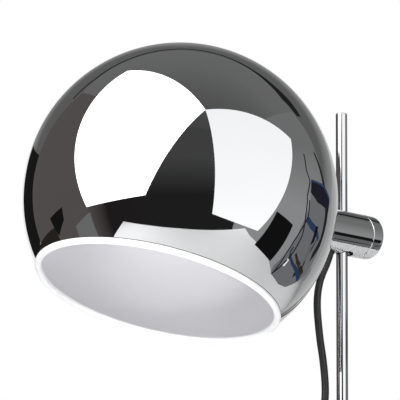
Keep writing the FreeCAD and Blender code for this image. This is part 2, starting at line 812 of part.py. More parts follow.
def screw_pair(name, x, half, y, seat, down=True):
    """Two small pan-head screws side by side along X, heads on the seat."""
    pieces = []
    for side, sign in (("left", "-"), ("right", "+")):
        head = doc.addObject("Part::Cylinder", "%s_head_%s" % (name, side))
        shank = doc.addObject("Part::Cylinder", "%s_shank_%s" % (name, side))
        slot = doc.addObject("Part::Box", "%s_slot_%s" % (name, side))
        bind(head, "Radius", "small_head_radius")
        bind(head, "Height", "small_head_height")
        bind(shank, "Radius", "small_screw_radius - flex_gap / 5")
        bind(shank, "Height", "small_screw_length")
        bind(slot, "Length", "2 * small_head_radius")
        bind(slot, "Width", "small_screw_radius / 3")
        bind(slot, "Height", "small_head_height")
        middle = "%s %s %s" % (x, sign, half)
        head_low = seat if down else "%s - small_head_height" % seat
        shank_low = "%s - small_screw_length" % seat if down else seat
        slot_low = "%s + small_head_height / 2" % seat if down else "%s - 3 * small_head_height / 2" % seat
        placed(head, x=middle, y=y, z=head_low)
        placed(shank, x=middle, y=y, z=shank_low)
        placed(slot, x=middle + " - small_head_radius", y=y + " - small_screw_radius / 6", z=slot_low)
        screw = doc.addObject("Part::Fuse", "%s_blank_%s" % (name, side))
        screw.Base, screw.Tool = head, shank
        piece = doc.addObject("Part::Cut", "%s_%s" % (name, side))
        piece.Base, piece.Tool = screw, slot
        pieces.append(piece)
    pair = doc.addObject("Part::Compound", name)
    pair.Links = pieces
    pair.Label = name
    PARTS[name] = pair


# ---------------------------------------------------------------------------------------------
# Flex: straight runs joined by tangent arcs, and a coil for the spare length
# ---------------------------------------------------------------------------------------------

def corner_arc(before, corner, after, reach):
    """The arc that rounds a corner of the route, starting and ending at reach from it."""
    back = (before - corner).normalize()
    ahead = (after - corner).normalize()
    turn = math.pi - back.getAngle(ahead)
    radius = reach / math.tan(turn / 2)
    middle = (back + ahead).normalize()
    near = corner + middle * (math.hypot(reach, radius) - radius)
    return Part.Arc(corner + back * reach, near, corner + ahead * reach), radius


def route_edges(points, bends=None):
    """Runs and arcs through the route's points; bends may fix an arc's radius at a corner."""
    edges, radii, start = [], [], points[0]
    for index in range(1, len(points) - 1):
        before, corner, after = points[index - 1:index + 2]
        shorter = min((corner - before).Length, (after - corner).Length)
        reach = 0.45 * shorter
        if bends and index in bends:
            turn = math.pi - (before - corner).getAngle(after - corner)
            reach = bends[index] * math.tan(turn / 2)
        arc, radius = corner_arc(before, corner, after, reach)
        if (arc.StartPoint - start).Length > 1e-6:
            edges.append(Part.LineSegment(start, arc.StartPoint))
        edges.append(arc)
        start = arc.EndPoint
        radii.append(round(radius, 1))
    edges.append(Part.LineSegment(start, points[-1]))
    return edges, radii


def swept(name, edges, radius):
    """A round tube along joined edges, its volume compared with its section times its length."""
    wire = Part.Wire([edge.toShape() for edge in edges])
    start = wire.OrderedEdges[0]
    heading = start.tangentAt(start.FirstParameter)
    profile = Part.Wire([Part.makeCircle(radius, start.valueAt(start.FirstParameter), heading)])
    tube = wire.makePipeShell([profile], True, False)
    drift = tube.Volume / (math.pi * radius ** 2 * wire.Length) - 1
    print("%s: length %.1f mm, volume off by %.4f %%" % (name, wire.Length, 100 * drift))
    piece = doc.addObject("Part::Feature", name)
    piece.Shape = tube
    piece.Label = name
    PARTS[name] = piece
    return wire


def free_cord(name, points, bends=None):
    edges, radii = route_edges([Vec(*point) for point in points], bends)
    print("%s: bend radii %s" % (name, radii))
    swept(name, edges, size("flex_radius"))


def flex_routes():
    axis = size("axis_height")
    lie = size("flex_radius")
    inlet = Vec(-size("inlet_x"), 0, size("base_height + inlet_height"))
    channel = size("channel_height")
    exit_y = size(exit_tip)
    switch_y, switch_z = size("switch_y"), size("switch_split")
    switch_right = size("switch_x + switch_length / 2 + relief_length")
    switch_left = size("switch_x - switch_length / 2 - relief_length")
    outlet = Vec(-size("outlet_x"), 0, axis - size("outlet_drop"))
    slant = math.radians(size("outlet_slant"))
    lean = Vec(-math.sin(slant), 0, -math.cos(slant))

    # out of the clamp towards the ball, then back towards the rod, as it hangs
    turn_back, straight = Vec(-24.2, 0, axis - 49.5), Vec(-21.3, 0, axis - 73.5)
    shared = (turn_back + straight) * 0.5
    free_cord("cord_upper", [
        outlet,
        outlet + lean * 6.2,
        (-20.3, 0, axis - 33.5),
        turn_back,
        shared,
    ])
    # the slack below, in one bow that lets the clamp rise, down into the base
    free_cord("cord_lower", [
        shared,
        straight,
        (-17.2, 0, axis - 92.0),
        (-15.2, 0, axis - 113.0),
        (-19.0, 1.0, axis - 135.0),
        (-33.0, 4.0, axis - 158.0),
        (-52.0, 9.0, axis - 183.0),
        (-66.0, 14.0, axis - 213.0),
        (-70.0, 17.0, axis - 245.0),
        (-64.0, 16.0, axis - 274.0),
        (-50.0, 11.0, axis - 299.0),
        (inlet.x - 13.0, 5.5, inlet.z + 35.5),
        (inlet.x - 3.0, 1.6, inlet.z + 20.5),
        (inlet.x, 0, inlet.z + 10.0),
        inlet,
    ])
    # held run: down through the bush, back along the channel and out of the strain relief
    free_cord("cord_in_base", [
        inlet,
        (inlet.x, 0, channel),
        (inlet.x, exit_y, channel),
    ], bends={1: size("channel_bend")})
    # over the table in an open bend to the switch
    free_cord("cord_lead", [
        (inlet.x, exit_y, channel),
        (inlet.x, exit_y + 10.0, channel),
        (inlet.x + 2.5, exit_y + 23.0, channel - 2.8),
        (inlet.x + 10.0, exit_y + 39.0, lie),
        (11.7, 188.0, lie),
        (38.0, 197.6, lie),
        (65.4, 203.4, lie),
        (switch_right + 28.0, 216.4, lie),
        (switch_right + 40.0, switch_y - 47.8, lie),
        (switch_right + 40.0, switch_y - 25.8, lie + 1.3),
        (switch_right + 30.0, switch_y - 8.5, switch_z - 2.1),
        (switch_right + 14.0, switch_y, switch_z),
        (switch_right, switch_y, switch_z),
    ])
    coil_start, start_heading = coil_point(0), coil_heading(0)
    coil_end, end_heading = coil_point(size("coil_turns")), coil_heading(size("coil_turns"))
    free_cord("cord_tail", [
        (switch_left, switch_y, switch_z),
        (switch_left - 10.0, switch_y, switch_z),
        (switch_left - 24.0, switch_y + 1.2, switch_z - 2.2),
        coil_start - start_heading * 9.0,
        coil_start,
    ])
    coil()
    plug_end = Vec(-size("plug_x") - size("relief_length"), coil_end.y, size("plug_height / 2"))
    free_cord("cord_end", [
        coil_end,
        coil_end + end_heading * 11.0,
        plug_end - X_AXIS * 10.0,
        plug_end,
    ])


def coil_point(turns):
    """Middle of the flex after so many turns: inwards below, then outwards above."""
    half = size("coil_turns") / 2
    layer = size("coil_pitch")
    inner = size("coil_radius") - layer * half / 2
    radius = inner + layer * abs(turns - half)
    climb = min(max(turns - half + 0.25, 0.0), 0.5) * 2
    height = size("flex_radius + coil_lift") + layer * climb * climb * (3 - 2 * climb)
    angle = math.pi / 2 + 2 * math.pi * turns
    return Vec(-size("coil_x") + radius * math.cos(angle), size("coil_y") + radius * math.sin(angle), height)


def coil_heading(turns):
    step = 1e-4
    return (coil_point(turns + step) - coil_point(turns - step)).normalize()


def biarc(start, heading, end, arrival):
    """Two arcs that leave start along heading and reach end along arrival."""
    chord = end - start
    both = heading + arrival
    close = 2 * (1 - heading.dot(arrival))
    along = chord.dot(both)
    reach = (math.sqrt(along ** 2 + close * chord.dot(chord)) - along) / close
    first, second = start + heading * reach, end - arrival * reach
    joint = (first + second) * 0.5
    return [corner_arc(start, first, joint, reach)[0], corner_arc(joint, second, end, reach)[0]]


def coil():
    quarters = int(round(4 * size("coil_turns")))
    edges = []
    for quarter in range(quarters):
        t0, t1 = quarter / 4, (quarter + 1) / 4
        edges += biarc(coil_point(t0), coil_heading(t0), coil_point(t1), coil_heading(t1))
    wire = swept("cord_coil", edges, size("flex_radius"))
    samples = wire.discretize(Number=900)
    apart = int(900 * 0.6 / size("coil_turns"))
    least = min((samples[i] - samples[j]).Length for i in range(0, 900, 2) for j in range(i + apart, 900))
    print("cord_coil: least gap between turns %.2f mm" % (least - 2 * size("flex_radius")))


def coil_tie():
    """Flat strap round all the turns at one place."""
    half_width = "(coil_pitch * (coil_turns / 2 - 0.25) / 2 + flex_radius + tie_gap + tie_slack)"
    low = "coil_lift - tie_gap"
    high = "%s + 2 * flex_radius + coil_pitch + 2 * tie_gap" % low
    outline = [("-%s - tie_wall" % half_width, "%s - tie_wall" % low),
               ("%s + tie_wall" % half_width, "%s - tie_wall" % low),
               ("%s + tie_wall" % half_width, "%s + tie_wall" % high),
               ("-%s - tie_wall" % half_width, "%s + tie_wall" % high)]
    body = extruded("coil_tie", "XZ_Plane", outline, "tie_width")
    slotted(body, "tie_opening", ("2 * " + half_width, "4 * tie_width", "%s - (%s)" % (high, low)),
            ("-" + half_width, "-2 * tie_width", low))
    return placed(body, x="-coil_x - coil_radius + coil_pitch / 8 + tie_slack / 2",
                  y="coil_y + tie_width / 2")


# ---------------------------------------------------------------------------------------------
# Switch on the flex
# ---------------------------------------------------------------------------------------------

def stadium(length, width, corner):
    """Rounded rectangle about the origin."""
    a, b = "(%s) / 2" % length, "(%s) / 2" % width
    return [
        ("%s - %s" % (a, corner), "-" + b),
        (a, "-%s + %s" % (b, corner), corner, "%s - %s" % (a, corner), "-%s + %s" % (b, corner)),
        (a, "%s - %s" % (b, corner)),
        ("%s - %s" % (a, corner), b, corner, "%s - %s" % (a, corner), "%s - %s" % (b, corner)),
        ("-%s + %s" % (a, corner), b),
        ("-" + a, "%s - %s" % (b, corner), corner, "-%s + %s" % (a, corner), "%s - %s" % (b, corner)),
        ("-" + a, "-%s + %s" % (b, corner)),
        ("-%s + %s" % (a, corner), "-" + b, corner, "-%s + %s" % (a, corner), "-%s + %s" % (b, corner)),
    ]


def lies_at(height):
    return lambda edge: abs(edge.BoundBox.ZMin - height) < 1e-4 and abs(edge.BoundBox.ZMax - height) < 1e-4


def switch_case():
    plan = stadium("switch_length", "switch_width", "switch_corner")
    lower = extruded("switch_case_lower", "XY_Plane", plan, "switch_split")
    rounded(lower, "lower_edge", lies_at(0), "switch_edge")
    for side, sign in (("left", "-"), ("right", "")):
        bored(lower, "screw_hole_" + side, "small_screw_radius", "switch_split",
              (sign + "switch_screw_x", "0", "0"))
        bored(lower, "screw_head_" + side, "small_head_radius + flex_gap * 4", "small_head_height * 1.5",
              (sign + "switch_screw_x", "0", "0"))
    placed(lower, x="switch_x", y="switch_y")

    upper = extruded("switch_case_upper", "XY_Plane", plan, "switch_height - switch_split", "switch_split")
    doc.recompute()
    rounded(upper, "upper_edge", lies_at(size("switch_height")), "switch_edge")
    slotted(upper, "rocker_well", ("well_length", "well_width", "switch_height"),
            ("-well_length / 2", "-well_width / 2", "switch_split"))
    bored(upper, "rocker_pin_hole", "rocker_pin_radius", "switch_width * 0.7",
          ("0", "-switch_width * 0.35", "rocker_pin_height"), (X_AXIS, "-90"))
    for side, sign in (("left", "-"), ("right", "")):
        bored(upper, "screw_thread_" + side, "small_screw_radius", "small_screw_length * 0.6",
              (sign + "switch_screw_x", "0", "switch_split"))
    placed(upper, x="switch_x", y="switch_y")
    screw_pair("switch_screws", "switch_x", "switch_screw_x", "switch_y", "small_head_height * 1.5",
               down=False)


def switch_rocker():
    """Rocker with a shallow valley, tipped to one side on its pin."""
    a, low = "rocker_length / 2", "-rocker_drop"
    body = extruded("switch_rocker", "XZ_Plane", [
        ("-" + a, low), (a, low), (a, "rocker_rise"), ("0", "rocker_valley"), ("-" + a, "rocker_rise"),
    ], "rocker_width")
    bored(body, "rocker_bore", "rocker_pin_radius + rocker_pin_gap", "4 * rocker_width",
          ("0", "-2 * rocker_width", "0"), (X_AXIS, "-90"))
    pad = body.getObject("switch_rocker_pad")
    pad.Midplane = True
    placed(body, x="switch_x", y="switch_y", z="rocker_pin_height", turn=(Y_AXIS, "rocker_angle"))
    pin = doc.addObject("Part::Cylinder", "rocker_pin")
    pin.Label = "rocker_pin"
    bind(pin, "Radius", "rocker_pin_radius")
    bind(pin, "Height", "switch_width * 0.7")
    PARTS["rocker_pin"] = placed(pin, x="switch_x", y="switch_y - switch_width * 0.35",
                                 z="rocker_pin_height", turn=(X_AXIS, "-90"))


def relief(name):
    """Moulded strain relief, thick at its foot; its own +Z points along the flex."""
    piece = doc.addObject("Part::Cone", name)
    bind(piece, "Radius1", "relief_root")
    bind(piece, "Radius2", "relief_tip")
    bind(piece, "Height", "relief_length")
    return piece


def switch_reliefs():
    right = placed(relief("switch_relief_right"), x="switch_x + switch_length / 2", y="switch_y",
                   z="switch_split", turn=(Y_AXIS, "90"))
    left = placed(relief("switch_relief_left"), x="switch_x - switch_length / 2", y="switch_y",
                  z="switch_split", turn=(Y_AXIS, "-90"))
    pair = doc.addObject("Part::Compound", "switch_reliefs")
    pair.Links = [right, left]
    pair.Label = "switch_reliefs"
    PARTS["switch_reliefs"] = pair


# ---------------------------------------------------------------------------------------------
# Two-prong plug, lying beside the coil
# ---------------------------------------------------------------------------------------------

def plug():
    end_y = "coil_y - coil_radius - coil_pitch * coil_turns / 4"
    a, n, w = "plug_length", "plug_neck / 2", "plug_width / 2"
    body = extruded("plug_body", "XY_Plane", [
        ("0", "-" + n), (a + " * 0.25", "-" + n), (a + " * 0.7", "-" + w), (a, "-" + w),
        (a, w), (a + " * 0.7", w), (a + " * 0.25", n), ("0", n),
    ], "plug_height", "-plug_height / 2")
    rounded(body, "plug_edges", lambda edge: edge.BoundBox.XMax < size("plug_length") - 1e-3, "plug_edge")
    for side, sign in (("left", "-"), ("right", "")):
        bored(body, "prong_hole_" + side, "prong_radius", "4 * prong_hold",
              ("plug_length - prong_hold", sign + "prong_spacing / 2", "0"), (Y_AXIS, "90"))
    placed(body, x="-plug_x", y=end_y, z="plug_height / 2")
    neck = placed(relief("plug_relief"), x="-plug_x", y=end_y, z="plug_height / 2", turn=(Y_AXIS, "-90"))
    neck.Label = "plug_relief"
    PARTS["plug_relief"] = neck
    prongs = []
    for side, sign in (("left", "-"), ("right", "+")):
        bar = doc.addObject("Part::Cylinder", "prong_bar_" + side)
        bind(bar, "Radius", "prong_radius")
        bind(bar, "Height", "prong_hold + prong_length")
        placed(bar, x="-plug_x + plug_length - prong_hold", y="%s %s prong_spacing / 2" % (end_y, sign),
               z="plug_height / 2", turn=(Y_AXIS, "90"))
        doc.recompute()
        prong = doc.addObject("Part::Fillet", "prong_" + side)
        prong.Base = bar
        tip = size("-plug_x + plug_length + prong_length")
        edges = [i + 1 for i, edge in enumerate(bar.Shape.Edges) if abs(edge.BoundBox.XMin - tip) < 1e-3]
        round_off = size("prong_round")
        prong.Edges = [(edge, round_off, round_off) for edge in edges]
        prongs.append(prong)
    pair = doc.addObject("Part::Compound", "plug_prongs")
    pair.Links = prongs
    pair.Label = "plug_prongs"
    PARTS["plug_prongs"] = pair


# ---------------------------------------------------------------------------------------------
# Conductors from the clamp's outlet through the pivot tube to the lampholder
# ---------------------------------------------------------------------------------------------

def holder_wires():
    axis, drop = size("axis_height"), size("outlet_drop")
    slant = math.tan(math.radians(size("outlet_slant")))
    turn_z = -1.2
    edges, radii = route_edges([
        Vec(-size("outlet_x"), 0, axis - drop),
        Vec(-size("outlet_x") + (drop + turn_z) * slant, 0, axis + turn_z),
        Vec(-size("clamp_back") / 2, 0, axis),
        Vec(size(core_front), 0, axis),
    ], bends={1: 4.6, 2: 40.0})
    print("holder_wires: bend radii %s" % radii)
    swept("holder_wires", edges, size("core_radius"))


# ---------------------------------------------------------------------------------------------

def build():
    for make in (shade_shell, mouth_ring, clamp_body, clamp_knob, clamp_screw, clamp_pad, rod_liner,
                 outlet_bush, pivot_tube, seat_collar, inner_washer, pivot_spring_washer, pivot_nut,
                 holder_cap, holder_core, holder_sleeve, holder_thread, holder_contact, bulb_cap,
                 bulb_glass, rod, rod_collar, base_cover, base_weight, base_pad, foot_fixings,
                 inlet_bush, exit_bush, cord_grip, switch_case, switch_rocker, switch_reliefs,
                 coil_tie, plug, flex_routes, holder_wires):
        make()
    doc.recompute()
    failed = [item.Name for item in doc.Objects if "Invalid" in item.State or "Error" in item.State]
    if failed:
        raise RuntimeError("failed features: %s" % failed)
    for name, piece in PARTS.items():
        if piece.Shape.isNull() or not piece.Shape.isValid() or not piece.Shape.Solids:
            raise RuntimeError(name + " has no valid shape")
    os.makedirs("parts", exist_ok=True)
    for name, piece in PARTS.items():
        piece.Shape.exportStep("parts/%s.step" % name)
    print("%d pieces written" % len(PARTS))


build()
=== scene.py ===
# %% [markdown]
# # Table lamp with a polished ball shade
#
# The lamp has a slim upright rod in a round weighted base. A short cylindrical clamp slides and turns on
# the rod. It carries a spun metal ball, chromed outside and painted white inside, which is open at the
# bottom. A round black flex leaves the underside of the clamp, hangs beside the rod and goes into the base.
#
# The solid model gives every rigid piece its shape and place. This script dresses it: it lays the flex
# along smooth lines, spins a finer skin for the mirror-bright ball, gives each piece the surface that it
# has on the real lamp, and builds the small studio that a mirror-bright object needs round it.

# %% Load the solid model
import json
import math

import bmesh
import bpy
from mathutils import Matrix, Vector


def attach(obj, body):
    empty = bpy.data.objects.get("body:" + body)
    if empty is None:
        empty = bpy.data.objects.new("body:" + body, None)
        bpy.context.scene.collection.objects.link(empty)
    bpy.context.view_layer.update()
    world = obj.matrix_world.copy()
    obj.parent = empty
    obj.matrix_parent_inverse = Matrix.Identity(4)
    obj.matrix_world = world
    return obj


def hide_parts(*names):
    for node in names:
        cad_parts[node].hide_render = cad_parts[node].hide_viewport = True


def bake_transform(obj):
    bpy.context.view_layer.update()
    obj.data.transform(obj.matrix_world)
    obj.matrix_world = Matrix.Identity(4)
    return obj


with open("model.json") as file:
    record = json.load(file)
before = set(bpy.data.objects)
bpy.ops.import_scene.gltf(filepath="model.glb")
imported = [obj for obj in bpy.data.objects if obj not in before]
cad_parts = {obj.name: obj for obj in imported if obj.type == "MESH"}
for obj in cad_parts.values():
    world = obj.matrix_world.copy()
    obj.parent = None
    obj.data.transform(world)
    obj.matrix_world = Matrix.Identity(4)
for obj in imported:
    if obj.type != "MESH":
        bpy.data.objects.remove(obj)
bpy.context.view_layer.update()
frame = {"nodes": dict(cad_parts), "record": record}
nodes = frame["nodes"]
scene = bpy.context.scene
scene.view_settings.view_transform = "Standard"

mm = 0.001                    # one millimetre in metres, Blender's unit
clamp_axis = 374 * mm         # height of the clamp's own axis above the table
ball_centre = Vector((-145 * mm, 0, clamp_axis))
ball_radius = 100 * mm
print("pieces loaded:", len(nodes))

# %% [markdown]
# ## Camera
#
# A product shot of a small shiny thing is taken from well back with a long lens, so that its proportions
# stay true. This camera stands 1.3 m away, lower than the ball, and looks slightly up, so the open
# mouth and the white inside show. It is described by where it stands and by its three directions, which
# is easier to get exact than three turning angles.

# %% Camera
camera = bpy.data.objects.new("camera", bpy.data.cameras.new("camera"))
scene.collection.objects.link(camera)
camera_right = Vector((0.75164, -0.65946, 0.01197))
camera_up = Vector((-0.15239, -0.15598, 0.97594))
camera_looks = Vector((0.64172, 0.73538, 0.21773))
turned = Matrix((camera_right, camera_up, -camera_looks)).transposed().to_4x4()
camera.matrix_world = Matrix.Translation((-0.96977, -0.96439, 0.0913)) @ turned
camera.data.sensor_width = 36
camera.data.lens = 184.5
camera.data.clip_start = 0.05
camera.data.clip_end = 30
scene.camera = camera
print("camera to ball:", round((camera.location - ball_centre).length, 3), "m")

# %% [markdown]
# ## Flex
#
# A lamp flex is a fixed length of something soft, so it is laid as one smooth line through a few loose
# points, the way a hand would place it, and never as straight runs with round corners. The line is a
# smooth spline that the points pull towards themselves. A tube of rings is then built along the line as
# it was read back, because only a mesh can follow two moving bodies at once.

# %% Helpers for the flex
flex_radius = 2.5 * mm


def link(name, data):
    piece = bpy.data.objects.new(name, data)
    scene.collection.objects.link(piece)
    return piece


def smooth_line(name, points):
    """A smooth spline pulled along by loose points, in millimetres."""
    curve = bpy.data.curves.new(name, "CURVE")
    curve.dimensions = "3D"
    curve.resolution_u = 12
    spline = curve.splines.new("NURBS")
    spline.points.add(len(points) - 1)
    for knot, point in zip(spline.points, points):
        knot.co = (*(Vector(point) * mm), 1)
    spline.order_u = 3
    spline.use_endpoint_u = True
    return link(name, curve)


def read_line(line):
    """Points along a smooth line, read back from its spline."""
    mesh = bpy.data.meshes.new_from_object(line)
    points = [vertex.co.copy() for vertex in mesh.vertices]
    bpy.data.meshes.remove(mesh)
    return points


def rings_along(name, path, radius_at, sides=24):
    """A tube of rings along a path; radius_at gives its radius for a share of the way from 0 to 1."""
    mesh = bmesh.new()
    across = Vector((0, 1, 0))
    travelled = [0.0]
    for here, there in zip(path, path[1:]):
        travelled.append(travelled[-1] + (there - here).length)
    rings = []
    for index, point in enumerate(path):
        ahead = path[min(index + 1, len(path) - 1)] - path[max(index - 1, 0)]
        ahead.normalize()
        across = (across - ahead * across.dot(ahead)).normalized()
        beside = ahead.cross(across)
        radius = radius_at(travelled[index] / travelled[-1])
        rings.append([mesh.verts.new(point + (across * math.cos(2 * math.pi * k / sides)
                                              + beside * math.sin(2 * math.pi * k / sides)) * radius)
                      for k in range(sides)])
    for near, far in zip(rings, rings[1:]):
        for k in range(sides):
            mesh.faces.new((near[k], near[(k + 1) % sides], far[(k + 1) % sides], far[k]))
    mesh.faces.new(rings[0][::-1])
    mesh.faces.new(rings[-1])
    return finished_mesh(name, mesh, smooth_angle=50)


def finished_mesh(name, mesh, smooth_angle):
    """Turns worked mesh into a piece, shaded smooth except across edges sharper than the angle."""
    bmesh.ops.recalc_face_normals(mesh, faces=mesh.faces)
    data = bpy.data.meshes.new(name)
    mesh.to_mesh(data)
    mesh.free()
    piece = link(name, data)
    data.shade_smooth()
    data.set_sharp_from_angle(angle=math.radians(smooth_angle))
    return piece


def lay_flex(name, points):
    """A piece of flex along loose points. Returns it and its path."""
    line = smooth_line(name + "_line", points)
    path = read_line(line)
    bpy.data.objects.remove(line)
    tube = rings_along(name, path, lambda share: flex_radius)
    return tube, path


print("flex diameter:", 2 * flex_radius / mm, "mm")


# %% [markdown]
# The visible flex hangs from the clamp. It swings out towards the ball, comes back towards the rod and
# then bows out again below the picture, which is the slack that lets the clamp slide up and turn. It is
# two pieces on one line. Both end where the flex hangs straight, so the seam can't be seen.

# %% Hanging flex
upper_points = [(-12.4, 0, 358.8), (-14.005, 0, 352.811), (-20.3, 0, 340.5), (-24.2, 0, 324.5),
                (-22.75, 0, 312.5)]
lower_points = [(-22.75, 0, 312.5), (-21.3, 0, 300.5), (-17.2, 0, 282), (-15.2, 0, 261), (-19, 1, 239),
                (-33, 4, 216), (-52, 9, 191), (-66, 14, 161), (-70, 17, 129), (-64, 16, 100), (-50, 11, 75),
                (-31, 5.5, 55.5), (-21, 1.6, 40.5), (-18, 0, 30), (-18, 0, 20)]
flex_upper, upper_path = lay_flex("flex_upper", upper_points)
flex_lower, lower_path = lay_flex("flex_lower", lower_points)
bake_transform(flex_upper)
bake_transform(flex_lower)
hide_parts("cord_upper")
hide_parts("cord_lower")
print("hanging flex points read:", len(upper_path), len(lower_path))

# %% [markdown]
# The mains side: the flex leaves the back of the base through a tapered relief, lies on the table in an
# open bend to the switch, and the rest is wound up for storage. The coil is two layers of turns, the first
# wound inwards on the table and the second outwards on top of it, with sixteen points to a turn. The plug
# lies beside it.

# %% Mains flex, switch to coil
lead_points = [(-18, 132.52, 8.8), (-18, 142.52, 8.8), (-15.5, 155.52, 6.0), (-8, 171.52, 2.5),
               (11.7, 188, 2.5), (38, 197.6, 2.5), (65.4, 203.4, 2.5), (88, 216.4, 2.5), (100, 237.2, 2.5),
               (100, 259.2, 3.8), (90, 276.5, 6.9), (74, 285, 9), (60, 285, 9)]
coil_middle = Vector((-105, 255, 0))
coil_turns, turn_pitch, inner_turn = 6.5, 5.5, 18.0625
lower_layer, climb_turns = 3.8, 0.5          # height of the first layer, and how long the climb takes
points_per_turn = 16


def coil_place(turns):
    """Middle of the flex after so many turns of the coil, in millimetres."""
    radius = inner_turn + turn_pitch * abs(turns - coil_turns / 2)
    climb = min(max(turns - coil_turns / 2 + climb_turns / 2, 0.0), climb_turns) / climb_turns
    height = lower_layer + turn_pitch * climb * climb * (3 - 2 * climb)
    angle = math.pi / 2 + 2 * math.pi * turns
    return coil_middle + Vector((radius * math.cos(angle), radius * math.sin(angle), height))


wound = [coil_place(step / points_per_turn) for step in range(int(coil_turns * points_per_turn) + 1)]
tail_points = [(-50, 285, 9), (-60, 285, 9), (-74, 286.2, 6.8), (-96, 291.2, 3.8)]
end_points = [(-94, 219.06, 9.3), (-81, 219.06, 7), (-71, 219.06, 7)]
flex_lead, lead_path = lay_flex("flex_lead", lead_points)
flex_coil, coil_path = lay_flex("flex_coil", tail_points + wound + end_points)
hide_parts("cord_lead")
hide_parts("cord_tail", "cord_coil", "cord_end")
for tube in (flex_lead, flex_coil):
    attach(tube, "base")
print("points read back:", len(lead_path), "on the lead,", len(coil_path), "on the coil from", len(wound))

# %% [markdown]
# Two runs are out of sight but are real pieces of the lamp: the flex held in the channel of the base, and
# the bare bundle of wires that goes on from the clamp through the pivot to the lampholder.

# %% Hidden runs
inside_points = [(-18, 0, 20), (-18, 0, 14), (-18, 2, 9.6), (-18, 7, 8.8), (-18, 60, 8.8),
                 (-18, 132.52, 8.8)]
wire_points = [(-12.4, 0, 358.8), (-9.2, 0, 370.4), (-13, 0, 373.4), (-22, 0, 374), (-52, 0, 374)]


def hidden_run(name, points, radius, body, node):
    line = smooth_line(name + "_line", points)
    tube = rings_along(name, read_line(line), lambda share: radius, sides=16)
    bpy.data.objects.remove(line)
    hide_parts(node)
    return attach(tube, body)


flex_inside = hidden_run("flex_inside", inside_points, flex_radius, "base", "cord_in_base")
wire_bundle = hidden_run("wire_bundle", wire_points, 2.0 * mm, "clamp", "holder_wires")
print("hidden runs:", flex_inside.name, wire_bundle.name)

# %% [markdown]
# ## Strain reliefs
#
# Each place where the flex leaves a housing has a soft moulded sleeve that is thick at its foot and thin
# at its tip. The ones on the mains side are cut with ring grooves, which is what lets a moulded relief
# bend evenly. The one under the clamp is slim and plain.

# %% Strain reliefs


def relief_along(name, path, foot, tip, grooves=0, depth=0.0, first=0.12, last=0.94):
    """A tapered sleeve along a path, with ring grooves between two shares of its length."""
    def radius_at(share):
        smooth = foot + (tip - foot) * share
        if not grooves or share < first or share > last:
            return smooth
        wave = 0.5 - 0.5 * math.cos(2 * math.pi * grooves * (share - first) / (last - first))
        return smooth - depth * wave ** 3
    return rings_along(name, path, radius_at, sides=32)


def straight_path(start, end, steps=72):
    start, end = Vector(start) * mm, Vector(end) * mm
    return [start.lerp(end, step / steps) for step in range(steps + 1)]


def slim_relief(name, length):
    """The sleeve that follows the hanging flex out of the clamp."""
    path, along = [upper_path[0]], 0.0
    for here, there in zip(upper_path, upper_path[1:]):
        along += (there - here).length
        if along > length:
            break
        path.append(there)
    return relief_along(name, path, foot=3.5 * mm, tip=2.62 * mm)


outlet_relief = slim_relief("outlet_relief", 20 * mm)
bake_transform(outlet_relief)
ringed = {"foot": 4.4 * mm, "tip": 3.1 * mm, "grooves": 7, "depth": 0.9 * mm}
switch_relief_right = relief_along("switch_relief_right", straight_path((36, 285, 9), (60, 285, 9)), **ringed)
switch_relief_left = relief_along("switch_relief_left", straight_path((-26, 285, 9), (-50, 285, 9)), **ringed)
plug_relief = relief_along("plug_relief_sleeve", straight_path((-47, 219.0625, 7), (-71, 219.0625, 7)),
                           **ringed)
for sleeve in (switch_relief_right, switch_relief_left, plug_relief):
    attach(sleeve, "base")
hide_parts("switch_reliefs")
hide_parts("switch_reliefs")
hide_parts("plug_relief")
print("relief sleeves:", ", ".join(sleeve.name for sleeve in (outlet_relief, switch_relief_right,
                                                             switch_relief_left, plug_relief)))

# %% [markdown]
# ## Surface effects
#
# Real surfaces are never one flat value. Four small effects are built once, as shared groups, and every
# material below takes the ones that its real surface has: a slow drift of tone, a patchy polish, a fine
# grain that stands up from the surface, and hairline marks from handling.

# %% Surface effects


def effect(name, inputs, outputs):
    """An empty shader group with named inputs (name, default) and outputs (name, kind)."""
    group = bpy.data.node_groups.new(name, "ShaderNodeTree")
    for label, default in inputs:
        kind = "NodeSocketColor" if isinstance(default, tuple) else "NodeSocketFloat"
        socket = group.interface.new_socket(label, in_out="INPUT", socket_type=kind)
        socket.default_value = default
    for label, kind in outputs:
        group.interface.new_socket(label, in_out="OUTPUT", socket_type=kind)
    return group, group.nodes.new("NodeGroupInput"), group.nodes.new("NodeGroupOutput")


def cloud(group, entry, detail=2.0, roughness=0.5, stretch=None):
    """Soft random cloud, in the object's own space, at the scale of the group's Scale input."""
    place = group.nodes.new("ShaderNodeTexCoord")
    noise = group.nodes.new("ShaderNodeTexNoise")
    noise.inputs["Detail"].default_value = detail
    noise.inputs["Roughness"].default_value = roughness
    group.links.new(entry.outputs["Scale"], noise.inputs["Scale"])
    if stretch:
        pull = group.nodes.new("ShaderNodeVectorMath")
        pull.operation = "MULTIPLY"
        pull.inputs[1].default_value = stretch
        group.links.new(place.outputs["Object"], pull.inputs[0])
        group.links.new(pull.outputs[0], noise.inputs["Vector"])
    else:
        group.links.new(place.outputs["Object"], noise.inputs["Vector"])
    return noise.outputs["Fac"]


def remapped(group, value, low, high):
    """Spreads a 0..1 cloud between two values or sockets."""
    spread = group.nodes.new("ShaderNodeMapRange")
    spread.inputs["From Min"].default_value = 0.3
    spread.inputs["From Max"].default_value = 0.7
    group.links.new(value, spread.inputs["Value"])
    for socket, wanted in (("To Min", low), ("To Max", high)):
        if isinstance(wanted, float):
            spread.inputs[socket].default_value = wanted
        else:
            group.links.new(wanted, spread.inputs[socket])
    return spread.outputs["Result"]


